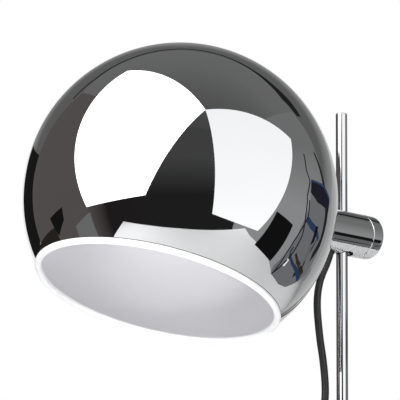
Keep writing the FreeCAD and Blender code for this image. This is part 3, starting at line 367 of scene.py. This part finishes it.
def make_tone():
    """Colour that drifts slowly between two near tones."""
    group, entry, out = effect("tone_drift", [("Tone A", (0.8, 0.8, 0.8, 1)), ("Tone B", (0.7, 0.7, 0.7, 1)),
                                              ("Scale", 20.0)], [("Color", "NodeSocketColor")])
    mix = group.nodes.new("ShaderNodeMix")
    mix.data_type = "RGBA"
    group.links.new(remapped(group, cloud(group, entry, 4.0), 0.0, 1.0), mix.inputs["Factor"])
    group.links.new(entry.outputs["Tone A"], mix.inputs["A"])
    group.links.new(entry.outputs["Tone B"], mix.inputs["B"])
    group.links.new(mix.outputs["Result"], out.inputs["Color"])
    return group


def make_polish():
    """Roughness that varies patchily between a shinier and a duller value."""
    group, entry, out = effect("patchy_polish", [("Shiny", 0.02), ("Dull", 0.05), ("Scale", 30.0)],
                               [("Roughness", "NodeSocketFloat")])
    value = remapped(group, cloud(group, entry, 5.0, 0.6), entry.outputs["Shiny"], entry.outputs["Dull"])
    group.links.new(value, out.inputs["Roughness"])
    return group


def make_grain():
    """Fine height pattern for a bump."""
    group, entry, out = effect("fine_grain", [("Scale", 900.0)], [("Height", "NodeSocketFloat")])
    group.links.new(cloud(group, entry, 3.0, 0.6), out.inputs["Height"])
    return group


def make_hairlines():
    """Height of thin marks that run round a drawn or turned piece."""
    group, entry, out = effect("hairlines", [("Scale", 60.0)], [("Height", "NodeSocketFloat")])
    height = remapped(group, cloud(group, entry, 2.0, 0.5, stretch=(1.0, 1.0, 40.0)), 0.0, 1.0)
    group.links.new(height, out.inputs["Height"])
    return group


effects = {"tone": make_tone(), "polish": make_polish(), "grain": make_grain(), "hairlines": make_hairlines()}
print("surface effects:", ", ".join(effects))

# %% [markdown]
# ## Materials
#
# Each material is one physical surface shader, fed by the effects. A number that is the same all over is
# set straight on the shader, so that it also survives an export. Chrome plate is a metal with a slightly
# grey, slightly blue reflection and almost no roughness. The enamel inside the ball is a dull white with
# a very faint orange-peel texture. The plastics differ mainly in how soft their shine is.

# %% Material helper


def surface(name, tones, polish, tone_scale=25.0, polish_scale=40.0, metallic=0.0, bump=None, **fixed):
    """A material: two near tones, a roughness range, and a bump of (effect, scale, strength, depth)."""
    material = bpy.data.materials.new(name)
    material.use_nodes = True
    tree = material.node_tree
    shader = tree.nodes["Principled BSDF"]
    shader.inputs["Metallic"].default_value = metallic
    for socket, value in fixed.items():
        shader.inputs[socket.replace("_", " ")].default_value = value
    tone = tree.nodes.new("ShaderNodeGroup")
    tone.node_tree = effects["tone"]
    tone.inputs["Tone A"].default_value = (*tones[0], 1)
    tone.inputs["Tone B"].default_value = (*tones[1], 1)
    tone.inputs["Scale"].default_value = tone_scale
    tree.links.new(tone.outputs["Color"], shader.inputs["Base Color"])
    shine = tree.nodes.new("ShaderNodeGroup")
    shine.node_tree = effects["polish"]
    shine.inputs["Shiny"].default_value, shine.inputs["Dull"].default_value = polish
    shine.inputs["Scale"].default_value = polish_scale
    tree.links.new(shine.outputs["Roughness"], shader.inputs["Roughness"])
    if bump:
        pattern, scale, strength, depth = bump
        height = tree.nodes.new("ShaderNodeGroup")
        height.node_tree = effects[pattern]
        height.inputs["Scale"].default_value = scale
        raise_up = tree.nodes.new("ShaderNodeBump")
        raise_up.inputs["Strength"].default_value = strength
        raise_up.inputs["Distance"].default_value = depth
        tree.links.new(height.outputs["Height"], raise_up.inputs["Height"])
        tree.links.new(raise_up.outputs["Normal"], shader.inputs["Normal"])
    return material


print("material helper ready, with", len(effects), "effects to draw on")

# %% [markdown]
# The metals come first. Only the chrome is left without a bump, because the smallest one would break up the
# sharp edges of the softboxes in it.

# %% Metals
chrome = surface("polished_chrome", ((0.655, 0.660, 0.670), (0.640, 0.645, 0.655)), (0.012, 0.022),
                 tone_scale=14, polish_scale=22, metallic=1.0)
clamp_chrome = surface("turned_chrome", ((0.655, 0.660, 0.670), (0.635, 0.640, 0.650)), (0.02, 0.04),
                       tone_scale=60, polish_scale=90, metallic=1.0)
zinc = surface("zinc_plate", ((0.56, 0.58, 0.60), (0.45, 0.46, 0.47)), (0.28, 0.45), tone_scale=120,
               polish_scale=200, metallic=1.0, bump=("grain", 1500, 0.2, 0.0001))
brass = surface("turned_brass", ((0.70, 0.50, 0.22), (0.58, 0.40, 0.17)), (0.22, 0.34), tone_scale=90,
                polish_scale=200, metallic=1.0, bump=("hairlines", 60, 0.3, 0.0001))
nickel = surface("nickel_plate", ((0.66, 0.62, 0.55), (0.58, 0.54, 0.47)), (0.14, 0.24), tone_scale=120,
                 polish_scale=160, metallic=1.0, bump=("hairlines", 60, 0.15, 0.00005))
bright_cap = surface("bright_cap", ((0.76, 0.77, 0.78), (0.66, 0.67, 0.68)), (0.2, 0.32), tone_scale=100,
                     polish_scale=200, metallic=1.0, bump=("grain", 1200, 0.15, 0.0001))
cast_iron = surface("cast_iron", ((0.045, 0.045, 0.05), (0.025, 0.025, 0.028)), (0.5, 0.75),
                    tone_scale=60, bump=("grain", 500, 0.8, 0.0004))
print("metals:", ", ".join(metal.name for metal in (chrome, clamp_chrome, zinc, brass, nickel, bright_cap,
                                                    cast_iron)))

# %% [markdown]
# The rest are dull or soft: the paint inside the ball, the white trim, the nylon liner, the felt under the
# base, the black plastics and rubber of the flex and its fittings, and the ceramic and glass that the ball
# hides.

# %% Paints, plastics and the rest
enamel = surface("white_enamel", ((0.89, 0.885, 0.915), (0.87, 0.865, 0.895)), (0.42, 0.55), tone_scale=18,
                 polish_scale=60, bump=("grain", 380, 0.12, 0.0002))
bead_white = surface("white_bead", ((0.88, 0.88, 0.89), (0.86, 0.86, 0.87)), (0.28, 0.4), tone_scale=30,
                     polish_scale=80, bump=("grain", 700, 0.08, 0.0001))
nylon = surface("natural_nylon", ((0.74, 0.73, 0.69), (0.68, 0.67, 0.62)), (0.35, 0.5), tone_scale=120,
                bump=("grain", 900, 0.15, 0.0001))
felt = surface("black_felt", ((0.016, 0.016, 0.017), (0.030, 0.030, 0.031)), (0.85, 0.98), tone_scale=700,
               bump=("grain", 2200, 0.9, 0.0006), Sheen_Weight=0.35)
moulded = surface("moulded_plastic", ((0.012, 0.012, 0.013), (0.017, 0.017, 0.018)), (0.22, 0.36),
                  tone_scale=60, polish_scale=90, bump=("grain", 1600, 0.25, 0.0001))
phenolic = surface("black_phenolic", ((0.014, 0.013, 0.012), (0.022, 0.020, 0.018)), (0.3, 0.42),
                   tone_scale=80, bump=("grain", 1100, 0.15, 0.0001))
sheath = surface("flex_sheath", ((0.010, 0.010, 0.011), (0.015, 0.015, 0.016)), (0.34, 0.48),
                 tone_scale=50, polish_scale=120, bump=("grain", 1400, 0.12, 0.0001))
soft_black = surface("soft_black", ((0.013, 0.013, 0.013), (0.019, 0.019, 0.019)), (0.5, 0.66),
                     tone_scale=60, bump=("grain", 1300, 0.3, 0.0001))
porcelain = surface("porcelain", ((0.78, 0.75, 0.69), (0.72, 0.69, 0.63)), (0.4, 0.55), tone_scale=90,
                    bump=("grain", 900, 0.2, 0.0001))
opal_glass = surface("opal_glass", ((0.86, 0.86, 0.83), (0.82, 0.82, 0.79)), (0.06, 0.12), tone_scale=20,
                     Transmission_Weight=0.15, IOR=1.5)
print("others:", ", ".join(other.name for other in (enamel, bead_white, nylon, felt, moulded, phenolic,
                                                    sheath, soft_black, porcelain, opal_glass)))

# %% [markdown]
# ## Ball shade
#
# The real shade is spun from one metal disc, so its skin is a true surface of revolution about the axis of
# its mouth. A mirror shows every facet, so the ball is built again with many fine rings, and each point is
# told the exact direction of the sphere there. Outer and inner skin meet in a thin rim at the mouth. The
# hole for the pivot is under the seat collar.

# %% Spin the ball
shade_wall = 1.0 * mm
mouth_depth = 63.0 * mm                      # from the ball's centre down to the cut edge
mouth_lean = math.radians(15.9)              # the mouth leans away from the rod
pivot_hole = 6.0 * mm
lean = Matrix.Rotation(mouth_lean, 4, "Y")


def spin_ball(name, segments=288, rings=150):
    """The shell as two skins and a rim. A tiny ring at the crown is closed by one face."""
    crown_ring = 0.02
    mesh = bmesh.new()
    skins = []
    for radius in (ball_radius, ball_radius - shade_wall):
        last = math.acos(-mouth_depth / radius)
        rows = []
        for ring in range(rings + 1):
            down = last * (ring + crown_ring) / (rings + crown_ring)
            rows.append([mesh.verts.new((radius * math.sin(down) * math.cos(2 * math.pi * k / segments),
                                         radius * math.sin(down) * math.sin(2 * math.pi * k / segments),
                                         radius * math.cos(down))) for k in range(segments)])
        skins.append(rows)
    for skin, rows in enumerate(skins):
        for upper, lower in zip(rows, rows[1:]):
            for k in range(segments):
                corners = [upper[k], lower[k], lower[(k + 1) % segments], upper[(k + 1) % segments]]
                face = mesh.faces.new(corners if skin == 0 else corners[::-1])
                face.material_index = skin
        crown = mesh.faces.new(rows[0] if skin == 0 else rows[0][::-1])
        crown.material_index = skin
    outer_edge, inner_edge = skins[0][-1], skins[1][-1]
    rim_out = [mesh.verts.new(vertex.co) for vertex in outer_edge]
    rim_in = [mesh.verts.new(vertex.co) for vertex in inner_edge]
    for k in range(segments):
        mesh.faces.new((rim_out[k], rim_in[k], rim_in[(k + 1) % segments], rim_out[(k + 1) % segments]))
    # the pivot's hole, on the side that faces the clamp once the ball leans
    pivot = lean.inverted() @ Vector((1, 0, 0))
    hole = [face for face in mesh.faces
            if face.calc_center_median().dot(pivot) > 0
            and face.calc_center_median().cross(pivot).length < pivot_hole]
    bmesh.ops.delete(mesh, geom=hole, context="FACES")
    mesh.verts.index_update()
    rim = {vertex.index for vertex in rim_out + rim_in}
    data = bpy.data.meshes.new(name)
    mesh.to_mesh(data)
    mesh.free()
    data.shade_smooth()
    middle = ball_radius - shade_wall / 2
    normals = []
    for vertex in data.vertices:
        if vertex.index in rim:
            normals.append(Vector((0, 0, -1)))
        else:
            away = vertex.co.normalized()
            normals.append(away if vertex.co.length > middle else -away)
    data.normals_split_custom_set_from_vertices(normals)
    data.transform(lean)
    data.transform(Matrix.Translation(ball_centre))
    data.materials.append(chrome)
    data.materials.append(enamel)
    return link(name, data)


ball = spin_ball("ball_shade")
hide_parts("shade_shell")
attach(ball, "shade")
print("ball faces:", len(ball.data.polygons))

# %% [markdown]
# The rod and the clamp's end knob are turned parts, and their mirror finish shows every facet too. They are
# turned again with many sides on the same profile. The knob's edge beside the clamp is a small round, which
# catches the softboxes all the way along as one bright line.

# %% Turn the rod and the knob
def arc(across, along, radius, start, end, steps=8):
    """Points of a small round in a turned profile, as (distance from the axis, height along it)."""
    turns = [math.radians(start + (end - start) * k / steps) for k in range(steps + 1)]
    return [(across + radius * math.cos(turn), along + radius * math.sin(turn)) for turn in turns]


def turn_profile(name, profile, place, sides=160):
    """A piece turned about its own z axis. A profile that ends where it began makes a closed ring."""
    mesh = bmesh.new()
    rings = []
    for across, along in profile:
        rings.append([mesh.verts.new(place @ (Vector((across * math.cos(2 * math.pi * k / sides),
                                                      across * math.sin(2 * math.pi * k / sides),
                                                      along)) * mm)) for k in range(sides)])
    for near, far in zip(rings, rings[1:]):
        for k in range(sides):
            mesh.faces.new((near[k], near[(k + 1) % sides], far[(k + 1) % sides], far[k]))
    if profile[0] == profile[-1]:
        bmesh.ops.remove_doubles(mesh, verts=mesh.verts, dist=0.01 * mm)
    else:
        mesh.faces.new(rings[0][::-1])
        mesh.faces.new(rings[-1])
    return finished_mesh(name, mesh, smooth_angle=40)


rod_radius, rod_foot, rod_top, rod_edge = 4.0, 2.6, 457.5, 0.6
rod_profile = ([(rod_radius - rod_edge, rod_foot)]
               + arc(rod_radius - rod_edge, rod_foot + rod_edge, rod_edge, -45, 0, 4)
               + [(rod_radius, 12), (rod_radius, 200), (rod_radius, 440)]
               + arc(rod_radius - rod_edge, rod_top - rod_edge, rod_edge, 0, 90))
knob_radius, knob_start, knob_end = 15.0, 16.0, 26.4
groove_edge, knob_edge = 0.8, 2.0            # the small rounds beside the groove and at the free end
screw_radius, screw_reach = 4.01, 23.0
knob_profile = ([(screw_radius, screw_reach), (screw_radius, knob_start)]
                + arc(knob_radius - groove_edge, knob_start + groove_edge, groove_edge, -90, 0)
                + arc(knob_radius - knob_edge, knob_end - knob_edge, knob_edge, 0, 90, 14))
rod = turn_profile("rod_fine", rod_profile, Matrix.Identity(4))
knob_place = Matrix.Translation((0, 0, clamp_axis)) @ Matrix.Rotation(math.radians(90), 4, "Y")
knob = turn_profile("knob_fine", knob_profile, knob_place)
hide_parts("rod")
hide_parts("clamp_knob")
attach(rod, "base")
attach(knob, "knob")
# a thin soft black ring painted into the joint where the trim ring meets the ball: painted shadow of the fine
# gap there
joint_radius, joint_height, joint_thickness = 78.01, -62.56, 0.26
joint_profile = arc(joint_radius, joint_height, joint_thickness, 0, 330, 11)
joint_place = Matrix.Translation(ball_centre) @ lean
bead_joint = turn_profile("bead_joint", joint_profile + joint_profile[:1], joint_place, sides=240)
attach(bead_joint, "shade")
print("turned pieces:", len(rod.data.polygons), len(knob.data.polygons), "faces")

# %% [markdown]
# ## Dress the solid pieces
#
# Every other rigid piece keeps the shape of its solid. Each one gets the surface of its real material, and
# so does each new piece.

# %% Dress the solid pieces
finish_of = {
    "chrome": clamp_chrome, "white_trim": bead_white, "white_nylon": nylon, "brass": brass,
    "zinc_steel": zinc, "cast_iron": cast_iron, "felt": felt, "black_plastic": moulded,
    "black_holder": phenolic, "black_flex": sheath, "soft_black": soft_black, "ceramic": porcelain,
    "bulb_cap": bright_cap, "opal_glass": opal_glass, "prong": nickel, "shade_chrome": chrome,
}


def dress(piece, material):
    piece.data.materials.clear()
    piece.data.materials.append(material)


for part in frame["record"]["subparts"]:
    dress(nodes[part["node"]], finish_of[part["material_slot"]])
for piece in (rod, nodes["base_cover"]):
    dress(piece, chrome)
dress(knob, clamp_chrome)
for piece in (flex_upper, flex_lower, flex_lead, flex_coil, flex_inside, wire_bundle):
    dress(piece, sheath)
# the reliefs are soft black rubber; the ring at the trim joint is painted shadow in the same black
for piece in (outlet_relief, switch_relief_right, switch_relief_left, plug_relief, bead_joint):
    dress(piece, soft_black)
print("dressed:", len(nodes), "solid pieces")

# %% [markdown]
# ## Studio
#
# Polished metal has no colour of its own: it shows the room. So the look of the ball is made by what stands
# round it, as a photographer makes it. Two large softboxes hang over the camera to the left and right, a
# white table reflects in the lower half, a pale paper sweep stands behind, and the rest of the room is
# dim. None of these is part of the lamp, and the camera sees none of them but the floor. Each is a flat
# panel or a narrow strip that glows by itself, so one number says how bright it looks in the metal.

# %% Studio helpers


def glow(name, colour, strength, fading=None):
    """A surface that only gives off light. fading is (direction, start, end, strength at the end)."""
    material = bpy.data.materials.new(name)
    material.use_nodes = True
    tree = material.node_tree
    tree.nodes.clear()
    lamp = tree.nodes.new("ShaderNodeEmission")
    lamp.inputs["Color"].default_value = (*colour, 1)
    lamp.inputs["Strength"].default_value = strength
    if fading:
        direction, start, end, last = fading
        place = tree.nodes.new("ShaderNodeTexCoord")
        along = tree.nodes.new("ShaderNodeVectorMath")
        along.operation = "DOT_PRODUCT"
        along.inputs[1].default_value = direction
        fade = tree.nodes.new("ShaderNodeMapRange")
        for socket, value in (("From Min", start * mm), ("From Max", end * mm), ("To Min", strength),
                              ("To Max", last)):
            fade.inputs[socket].default_value = value
        tree.links.new(place.outputs["Object"], along.inputs[0])
        tree.links.new(along.outputs["Value"], fade.inputs["Value"])
        tree.links.new(fade.outputs["Result"], lamp.inputs["Strength"])
    out = tree.nodes.new("ShaderNodeOutputMaterial")
    tree.links.new(lamp.outputs["Emission"], out.inputs["Surface"])
    return material


def panel(name, corners, colour, strength, fading=None):
    """A flat panel of the studio, given by its corners in millimetres."""
    return stage_mesh(name, corners, [list(range(len(corners)))], glow(name, colour, strength, fading))


def ribbon(name, points, widths, colour, strength):
    """A narrow strip through points in millimetres, turned to face the ball."""
    corners = []
    for index, point in enumerate(points):
        point = Vector(point)
        ahead = Vector(points[min(index + 1, len(points) - 1)]) - Vector(points[max(index - 1, 0)])
        across = ahead.cross(point - ball_centre / mm).normalized() * widths[min(index, len(widths) - 1)] / 2
        corners += [point - across, point + across]
    faces = [(2 * k, 2 * k + 1, 2 * k + 3, 2 * k + 2) for k in range(len(points) - 1)]
    return stage_mesh(name, corners, faces, glow(name, colour, strength))


def stage_mesh(name, corners, faces, material):
    data = bpy.data.meshes.new(name)
    data.from_pydata([Vector(corner) * mm for corner in corners], [], faces)
    data.materials.append(material)
    piece = link(name, data)
    piece.visible_camera = False
    piece.visible_shadow = False
    return piece


def seen(azimuth, elevation, distance):
    """The point at a distance, in millimetres, that lies in one direction from the ball."""
    az, el = math.radians(azimuth), math.radians(elevation)
    away = Vector((math.cos(el) * math.cos(az), math.cos(el) * math.sin(az), math.sin(el)))
    return ball_centre / mm + away * distance


def room_corner(across, along, height):
    """A corner of the room: across along azimuth 50 degrees, along azimuth -40 degrees."""
    az = math.radians(50)
    forward, side = Vector((math.cos(az), math.sin(az), 0)), Vector((math.sin(az), -math.cos(az), 0))
    return forward * across + side * along + Vector((-145, 0, height))


print("studio helpers ready")

# %% [markdown]
# The room is a box of dim walls set nearly square to the camera, so that its corners show in the ball where
# the photographer's did. Each wall fades a little along its length or height, as the light on it did.

# %% Softboxes and room
neutral, up = (1, 1, 1), (0, 0, 1)
panel("softbox_left", [(-244, 243, 966), (-301, -457, 965), (-1027, -431, 229), (-970, 269, 230)],
      neutral, 3.4)
panel("softbox_right", [(-274, -361, 824), (318, -393, 731), (180, -874, -42), (-412, -842, 51)],
      neutral, 1.5, fading=(up, 50, 800, 1.36))
back, front, right_side, left_side, floor_level, roof = 1500, -2600, 2300, -1720, -1450, 2600
walls = {
    "wall_back_left": ([(back, left_side), (back, 0)], neutral, 0.36,
                       ((-0.536, 0.45, 1), 1300, 2080, 0.14)),
    "wall_back_right": ([(back, 0), (back, right_side)], neutral, 0.36,
                        ((0.306, -0.257, 1), 1178, 1958, 0.14)),
    "wall_front": ([(front, left_side), (front, right_side)], neutral, 0.018, (up, 0, 1200, 0.072)),
    "wall_right": ([(front, right_side), (back, right_side)], neutral, 0.36, (up, 300, 1600, 0.22)),
    "wall_left": ([(front, left_side), (back, left_side)], (1.0, 0.88, 0.86), 0.018,
                  ((0.643, 0.766, 0), -1350, -650, 0.12)),
}
for wall, (ends, colour, strength, fading) in walls.items():
    low = [room_corner(across, along, floor_level) for across, along in ends]
    high = [room_corner(across, along, roof) for across, along in reversed(ends)]
    panel(wall, low + high, colour, strength, fading)
level = [(front, left_side), (back, left_side), (back, right_side), (front, right_side)]
away = room_corner(1, 0, 0) - room_corner(0, 0, 0)
panel("ceiling", [room_corner(a, b, roof) for a, b in level], neutral, 0.085,
      fading=(away, -2300, 300, 0.185))
panel("room_floor", [room_corner(a, b, floor_level) for a, b in level], neutral, 0.02)

# %% [markdown]
# The rest of the room stands at the places where it shows in the ball: the paper sweep behind the lamp,
# black cards beside the table that draw dark edges on the metal, a grey card, a dark beam under the
# ceiling, and on the right a stand with dark and blue frames. A small black flag stands by the clamp.

# %% Things round the table
panel("paper_sweep", [seen(8, -22, 1420), seen(80, -22, 1380), seen(80, 12, 1380), seen(60, 27, 1450),
                      seen(40, 27, 1450), seen(8, 12, 1420)], neutral, 0.45,
      fading=((-0.707, 0.707, 0), -600, 500, 1.0))
panel("dark_door", [seen(76, -8, 1300), seen(101, -6, 1300), seen(101, 21, 1300), seen(76, 20, 1300)],
      neutral, 0.012)
panel("dark_shelf", [seen(84, -32, 1250), seen(128, -32, 1250), seen(126, -10, 1250), seen(84, -4, 1250)],
      (1.0, 0.8, 0.7), 0.028)
panel("black_card", [(162, -553, 265), (301, -427, 238), (212, -382, 12), (50, -512, 33)], neutral, 0.008)
panel("dark_box", [(-681, 791, 283), (-880, 628, 304), (-860, 630, 197), (-722, 730, 121)], neutral, 0.01)
panel("grey_card", [(-937, 497, 93), (-1064, 274, 158), (-972, 238, -105), (-886, 482, -40)], neutral, 0.2)
panel("stand_back", [seen(-24, 9, 2290), seen(-30, -9, 2290), seen(-32, -21, 2290), seen(-35, -34, 2290),
                     seen(-28, -40, 2290), seen(-8, -35, 2290), seen(10, -15, 2290), seen(11, -4, 2290),
                     seen(5, 6, 2290)], (0.95, 0.97, 1.0), 0.21)
panel("stand_panel", [(1683, -831, 815), (1840, -231, 799), (1859, 139, 700), (1879, 86, 579),
                      (1815, -575, 558), (1694, -884, 641)], (0.6, 0.65, 1.0), 0.03)
blue = (0.25, 0.45, 1.0)
ribbon("stand_post", [(1535, -843, 1209), (1582, -950, 969), (1662, -883, 809), (1639, -1010, 578),
                      (1659, -990, 257), (1673, -874, -45), (1559, -850, -420), (1282, -839, -866)], [45],
       (0.8, 0.85, 1.0), 0.03)
ribbon("stand_rail", [(1687, -928, 517), (1713, -882, 276), (1618, -995, -26), (1534, -1036, -239),
                      (1451, -1015, -460), (1296, -833, -853)], [40], (0.6, 0.75, 1.0), 0.03)
ribbon("stand_top", [(1683, -831, 815), (1840, -231, 799), (1859, 139, 700)], [60], blue, 0.16)
ribbon("stand_hoop", [(1702, -900, 225), (1783, -689, 197), (1844, -470, 210), (1877, -263, 208),
                      (1886, -140, 189)], [110, 110, 100, 80, 60], blue, 0.13)
ribbon("stand_edge", [(1877, -218, 157), (1852, -268, 9), (1821, -316, -113), (1805, -256, -202),
                      (1787, -159, -290)], [30, 40, 50, 50, 50], neutral, 0.02)
ribbon("stand_cable", [(1559, -945, -308), (1526, -939, -395), (1539, -860, -453), (1634, -623, -456),
                       (1727, -348, -395), (1770, -110, -345), (1779, 30, -320)],
       [50, 60, 60, 60, 70, 80, 90], blue, 0.12)
ribbon("stand_grip", [(1644, -758, -338), (1710, -544, -355), (1780, -270, -308), (1810, -20, -260)],
       [50, 70, 80, 90], (1.0, 0.7, 0.6), 0.05)
panel("stand_glint", [(1431, -846, -640), (1483, -767, -616), (1538, -797, -491), (1494, -877, -501)],
      neutral, 1.1)
ribbon("stand_side", [seen(-11, 24, 2150), seen(-6, 12, 2150), seen(0, 5, 2150), seen(1, -4, 2150),
                      seen(-4, -14, 2150), seen(-9, -24, 2150)], [60, 130, 200, 160, 100],
       (0.9, 0.9, 1.0), 0.025)
# a dark beam where the ceiling meets the back wall
ribbon("beam", [seen(96, 40, 2200), seen(89, 47.2, 2200), seen(70, 52.3, 2200), seen(50.4, 52.9, 2200),
                seen(34, 52, 2200), seen(18.6, 50.3, 2200), seen(8, 47, 2200), seen(0.4, 42, 2200),
                seen(-3, 36, 2200)], [70, 75, 70, 65, 70, 95, 180, 330, 200], neutral, 0.018)
# a small black flag beside the clamp gives the clamp its dark band
panel("flag", [(50, -122, 341), (146, -122, 341), (152, -117, 306), (56, -117, 306)], neutral, 0.01)
panel("flag_foot", [(56, -117, 306), (152, -117, 306), (158, -108, 258), (62, -108, 258)], neutral, 0.17)
# the cards close to the lamp show in the metal but take no light from the floor
for card in ("black_card", "dark_box", "grey_card", "flag", "flag_foot"):
    bpy.data.objects[card].visible_diffuse = False

# %% [markdown]
# The lamp stands on a pale table. Its near edge shows in the ball, so the part that mirrors is a sheet of
# the real outline, seen by reflections alone, while the floor that the camera sees goes on past it and
# fades into the white background with distance. Both keep the shadow of the lamp.

# %% Table and floor
table_outline = [(-1003, -119), (-762, -320), (-559, -471), (-337, -605), (-19, -790), (33, -668),
                 (112, -572), (214, -396), (236, -283), (341, -181), (475, -109), (734, -38),
                 (1090, 48), (1946, 213), (1946, 1500), (-500, 1700), (-690, 400), (-736, 51), (-845, -14)]
floor_reach, floor_drop = 8.0, 0.0003        # metres; the floor lies a hair below the mirrored table


def pale_floor(name, fade_start, fade_end):
    """White paper that turns into plain background light with distance, for the camera only."""
    material = bpy.data.materials.new(name)
    material.use_nodes = True
    tree = material.node_tree
    tree.nodes.clear()
    new, join = tree.nodes.new, tree.links.new
    paper = new("ShaderNodeBsdfDiffuse")
    paper.inputs["Color"].default_value = (0.88, 0.88, 0.88, 1)
    white = new("ShaderNodeEmission")
    place = new("ShaderNodeTexCoord")
    length = new("ShaderNodeVectorMath")
    length.operation = "LENGTH"
    fade = new("ShaderNodeMapRange")
    fade.interpolation_type = "SMOOTHSTEP"
    fade.inputs["From Min"].default_value = fade_start
    fade.inputs["From Max"].default_value = fade_end
    rays = new("ShaderNodeLightPath")
    only = new("ShaderNodeMath")
    only.operation = "MULTIPLY"
    mix = new("ShaderNodeMixShader")
    out = new("ShaderNodeOutputMaterial")
    join(place.outputs["Object"], length.inputs[0])
    join(length.outputs["Value"], fade.inputs["Value"])
    join(fade.outputs["Result"], only.inputs[0])
    join(rays.outputs["Is Camera Ray"], only.inputs[1])
    join(only.outputs["Value"], mix.inputs["Fac"])
    join(paper.outputs["BSDF"], mix.inputs[1])
    join(white.outputs["Emission"], mix.inputs[2])
    join(mix.outputs["Shader"], out.inputs["Surface"])
    return material


floor_white = pale_floor("pale_floor", 0.26, 0.72)
table_data = bpy.data.meshes.new("table")
table_data.from_pydata([(x * mm, y * mm, 0) for x, y in table_outline], [], [list(range(len(table_outline)))])
table_data.materials.append(floor_white)
table = link("table", table_data)
floor_data = bpy.data.meshes.new("floor")
floor_data.from_pydata([(x * floor_reach, y * floor_reach, -floor_drop)
                        for x, y in ((-1, -1), (1, -1), (1, 1), (-1, 1))], [], [(0, 1, 2, 3)])
floor_data.materials.append(floor_white)
floor = link("floor", floor_data)
floor.visible_glossy = False
table.visible_camera = table.visible_diffuse = table.visible_shadow = False
print("table corners:", len(table_outline), "and floor", 2 * floor_reach, "m across")

# %% [markdown]
# Four lamps light what the glowing panels don't reach. A broad one low at the front shines up into the open
# mouth. A narrow one straight below shines through the mouth without touching its rim. A soft one beside
# the broad lamp brightens the middle of the painted inside. The last, from above on the right, brightens
# the part of the table that the clamp and the right of the ball mirror.

# %% Lamps


def aim(lamp, place, target):
    """Stands a lamp at a place and turns it towards a target, both in metres."""
    lamp.location = place
    lamp.rotation_euler = (Vector(target) - Vector(place)).to_track_quat("-Z", "Y").to_euler()


def spot_lamp(name, energy, degrees, blend, softness):
    lamp = link(name, bpy.data.lights.new(name, "SPOT"))
    lamp.data.energy = energy
    lamp.data.spot_size = math.radians(degrees)
    lamp.data.spot_blend = blend
    lamp.data.shadow_soft_size = softness
    return lamp


low_at_front = (-0.300, -0.170, 0.03)
fill = link("fill_lamp", bpy.data.lights.new("fill_lamp", "AREA"))
fill.data.shape = "RECTANGLE"
fill.data.size, fill.data.size_y, fill.data.energy = 0.22, 0.30, 0.9
fill.visible_camera = fill.visible_glossy = False
aim(fill, low_at_front, (-0.140, 0.030, 0.41))
mouth_lamp = spot_lamp("mouth_lamp", energy=2.0, degrees=25.5, blend=0.25, softness=0.01)
below_mouth = 0.37                           # metres from the ball's centre, along the mouth's own axis
mouth_lamp.matrix_world = (Matrix.Translation(ball_centre) @ lean @ Matrix.Translation((0, 0, -below_mouth))
                           @ Matrix.Rotation(math.pi, 4, "X"))
inner_lamp = spot_lamp("inner_lamp", energy=3.6, degrees=19, blend=1.0, softness=0.02)
aim(inner_lamp, low_at_front, (-0.085, 0.063, 0.333))
table_lamp = spot_lamp("table_lamp", energy=50, degrees=40, blend=1.0, softness=0.15)
aim(table_lamp, (0.75, -0.55, 1.5), (0.46, 0.10, 0.0))
table_lamp.visible_glossy = False
print("lamps:", len(bpy.data.lights))

# %% [markdown]
# The background is white to the camera and in reflections, and gives only a dim light from all sides.

# %% Background
world = bpy.data.worlds.new("background")
scene.world = world
world.use_nodes = True
tree = world.node_tree
tree.nodes.clear()
rays = tree.nodes.new("ShaderNodeLightPath")
either = tree.nodes.new("ShaderNodeMath")
either.operation = "MAXIMUM"
any_of = tree.nodes.new("ShaderNodeMath")
any_of.operation = "MAXIMUM"
tree.links.new(rays.outputs["Is Camera Ray"], either.inputs[0])
tree.links.new(rays.outputs["Is Glossy Ray"], either.inputs[1])
tree.links.new(either.outputs["Value"], any_of.inputs[0])
tree.links.new(rays.outputs["Is Transmission Ray"], any_of.inputs[1])
strength = tree.nodes.new("ShaderNodeMapRange")
strength.inputs["To Min"].default_value = 0.3
strength.inputs["To Max"].default_value = 1.0
tree.links.new(any_of.outputs["Value"], strength.inputs["Value"])
background = tree.nodes.new("ShaderNodeBackground")
background.inputs["Color"].default_value = (1, 1, 1, 1)
tree.links.new(strength.outputs["Result"], background.inputs["Strength"])
world_out = tree.nodes.new("ShaderNodeOutputWorld")
tree.links.new(background.outputs["Background"], world_out.inputs["Surface"])
print("background light:", round(strength.inputs["To Min"].default_value, 2), "of its white")
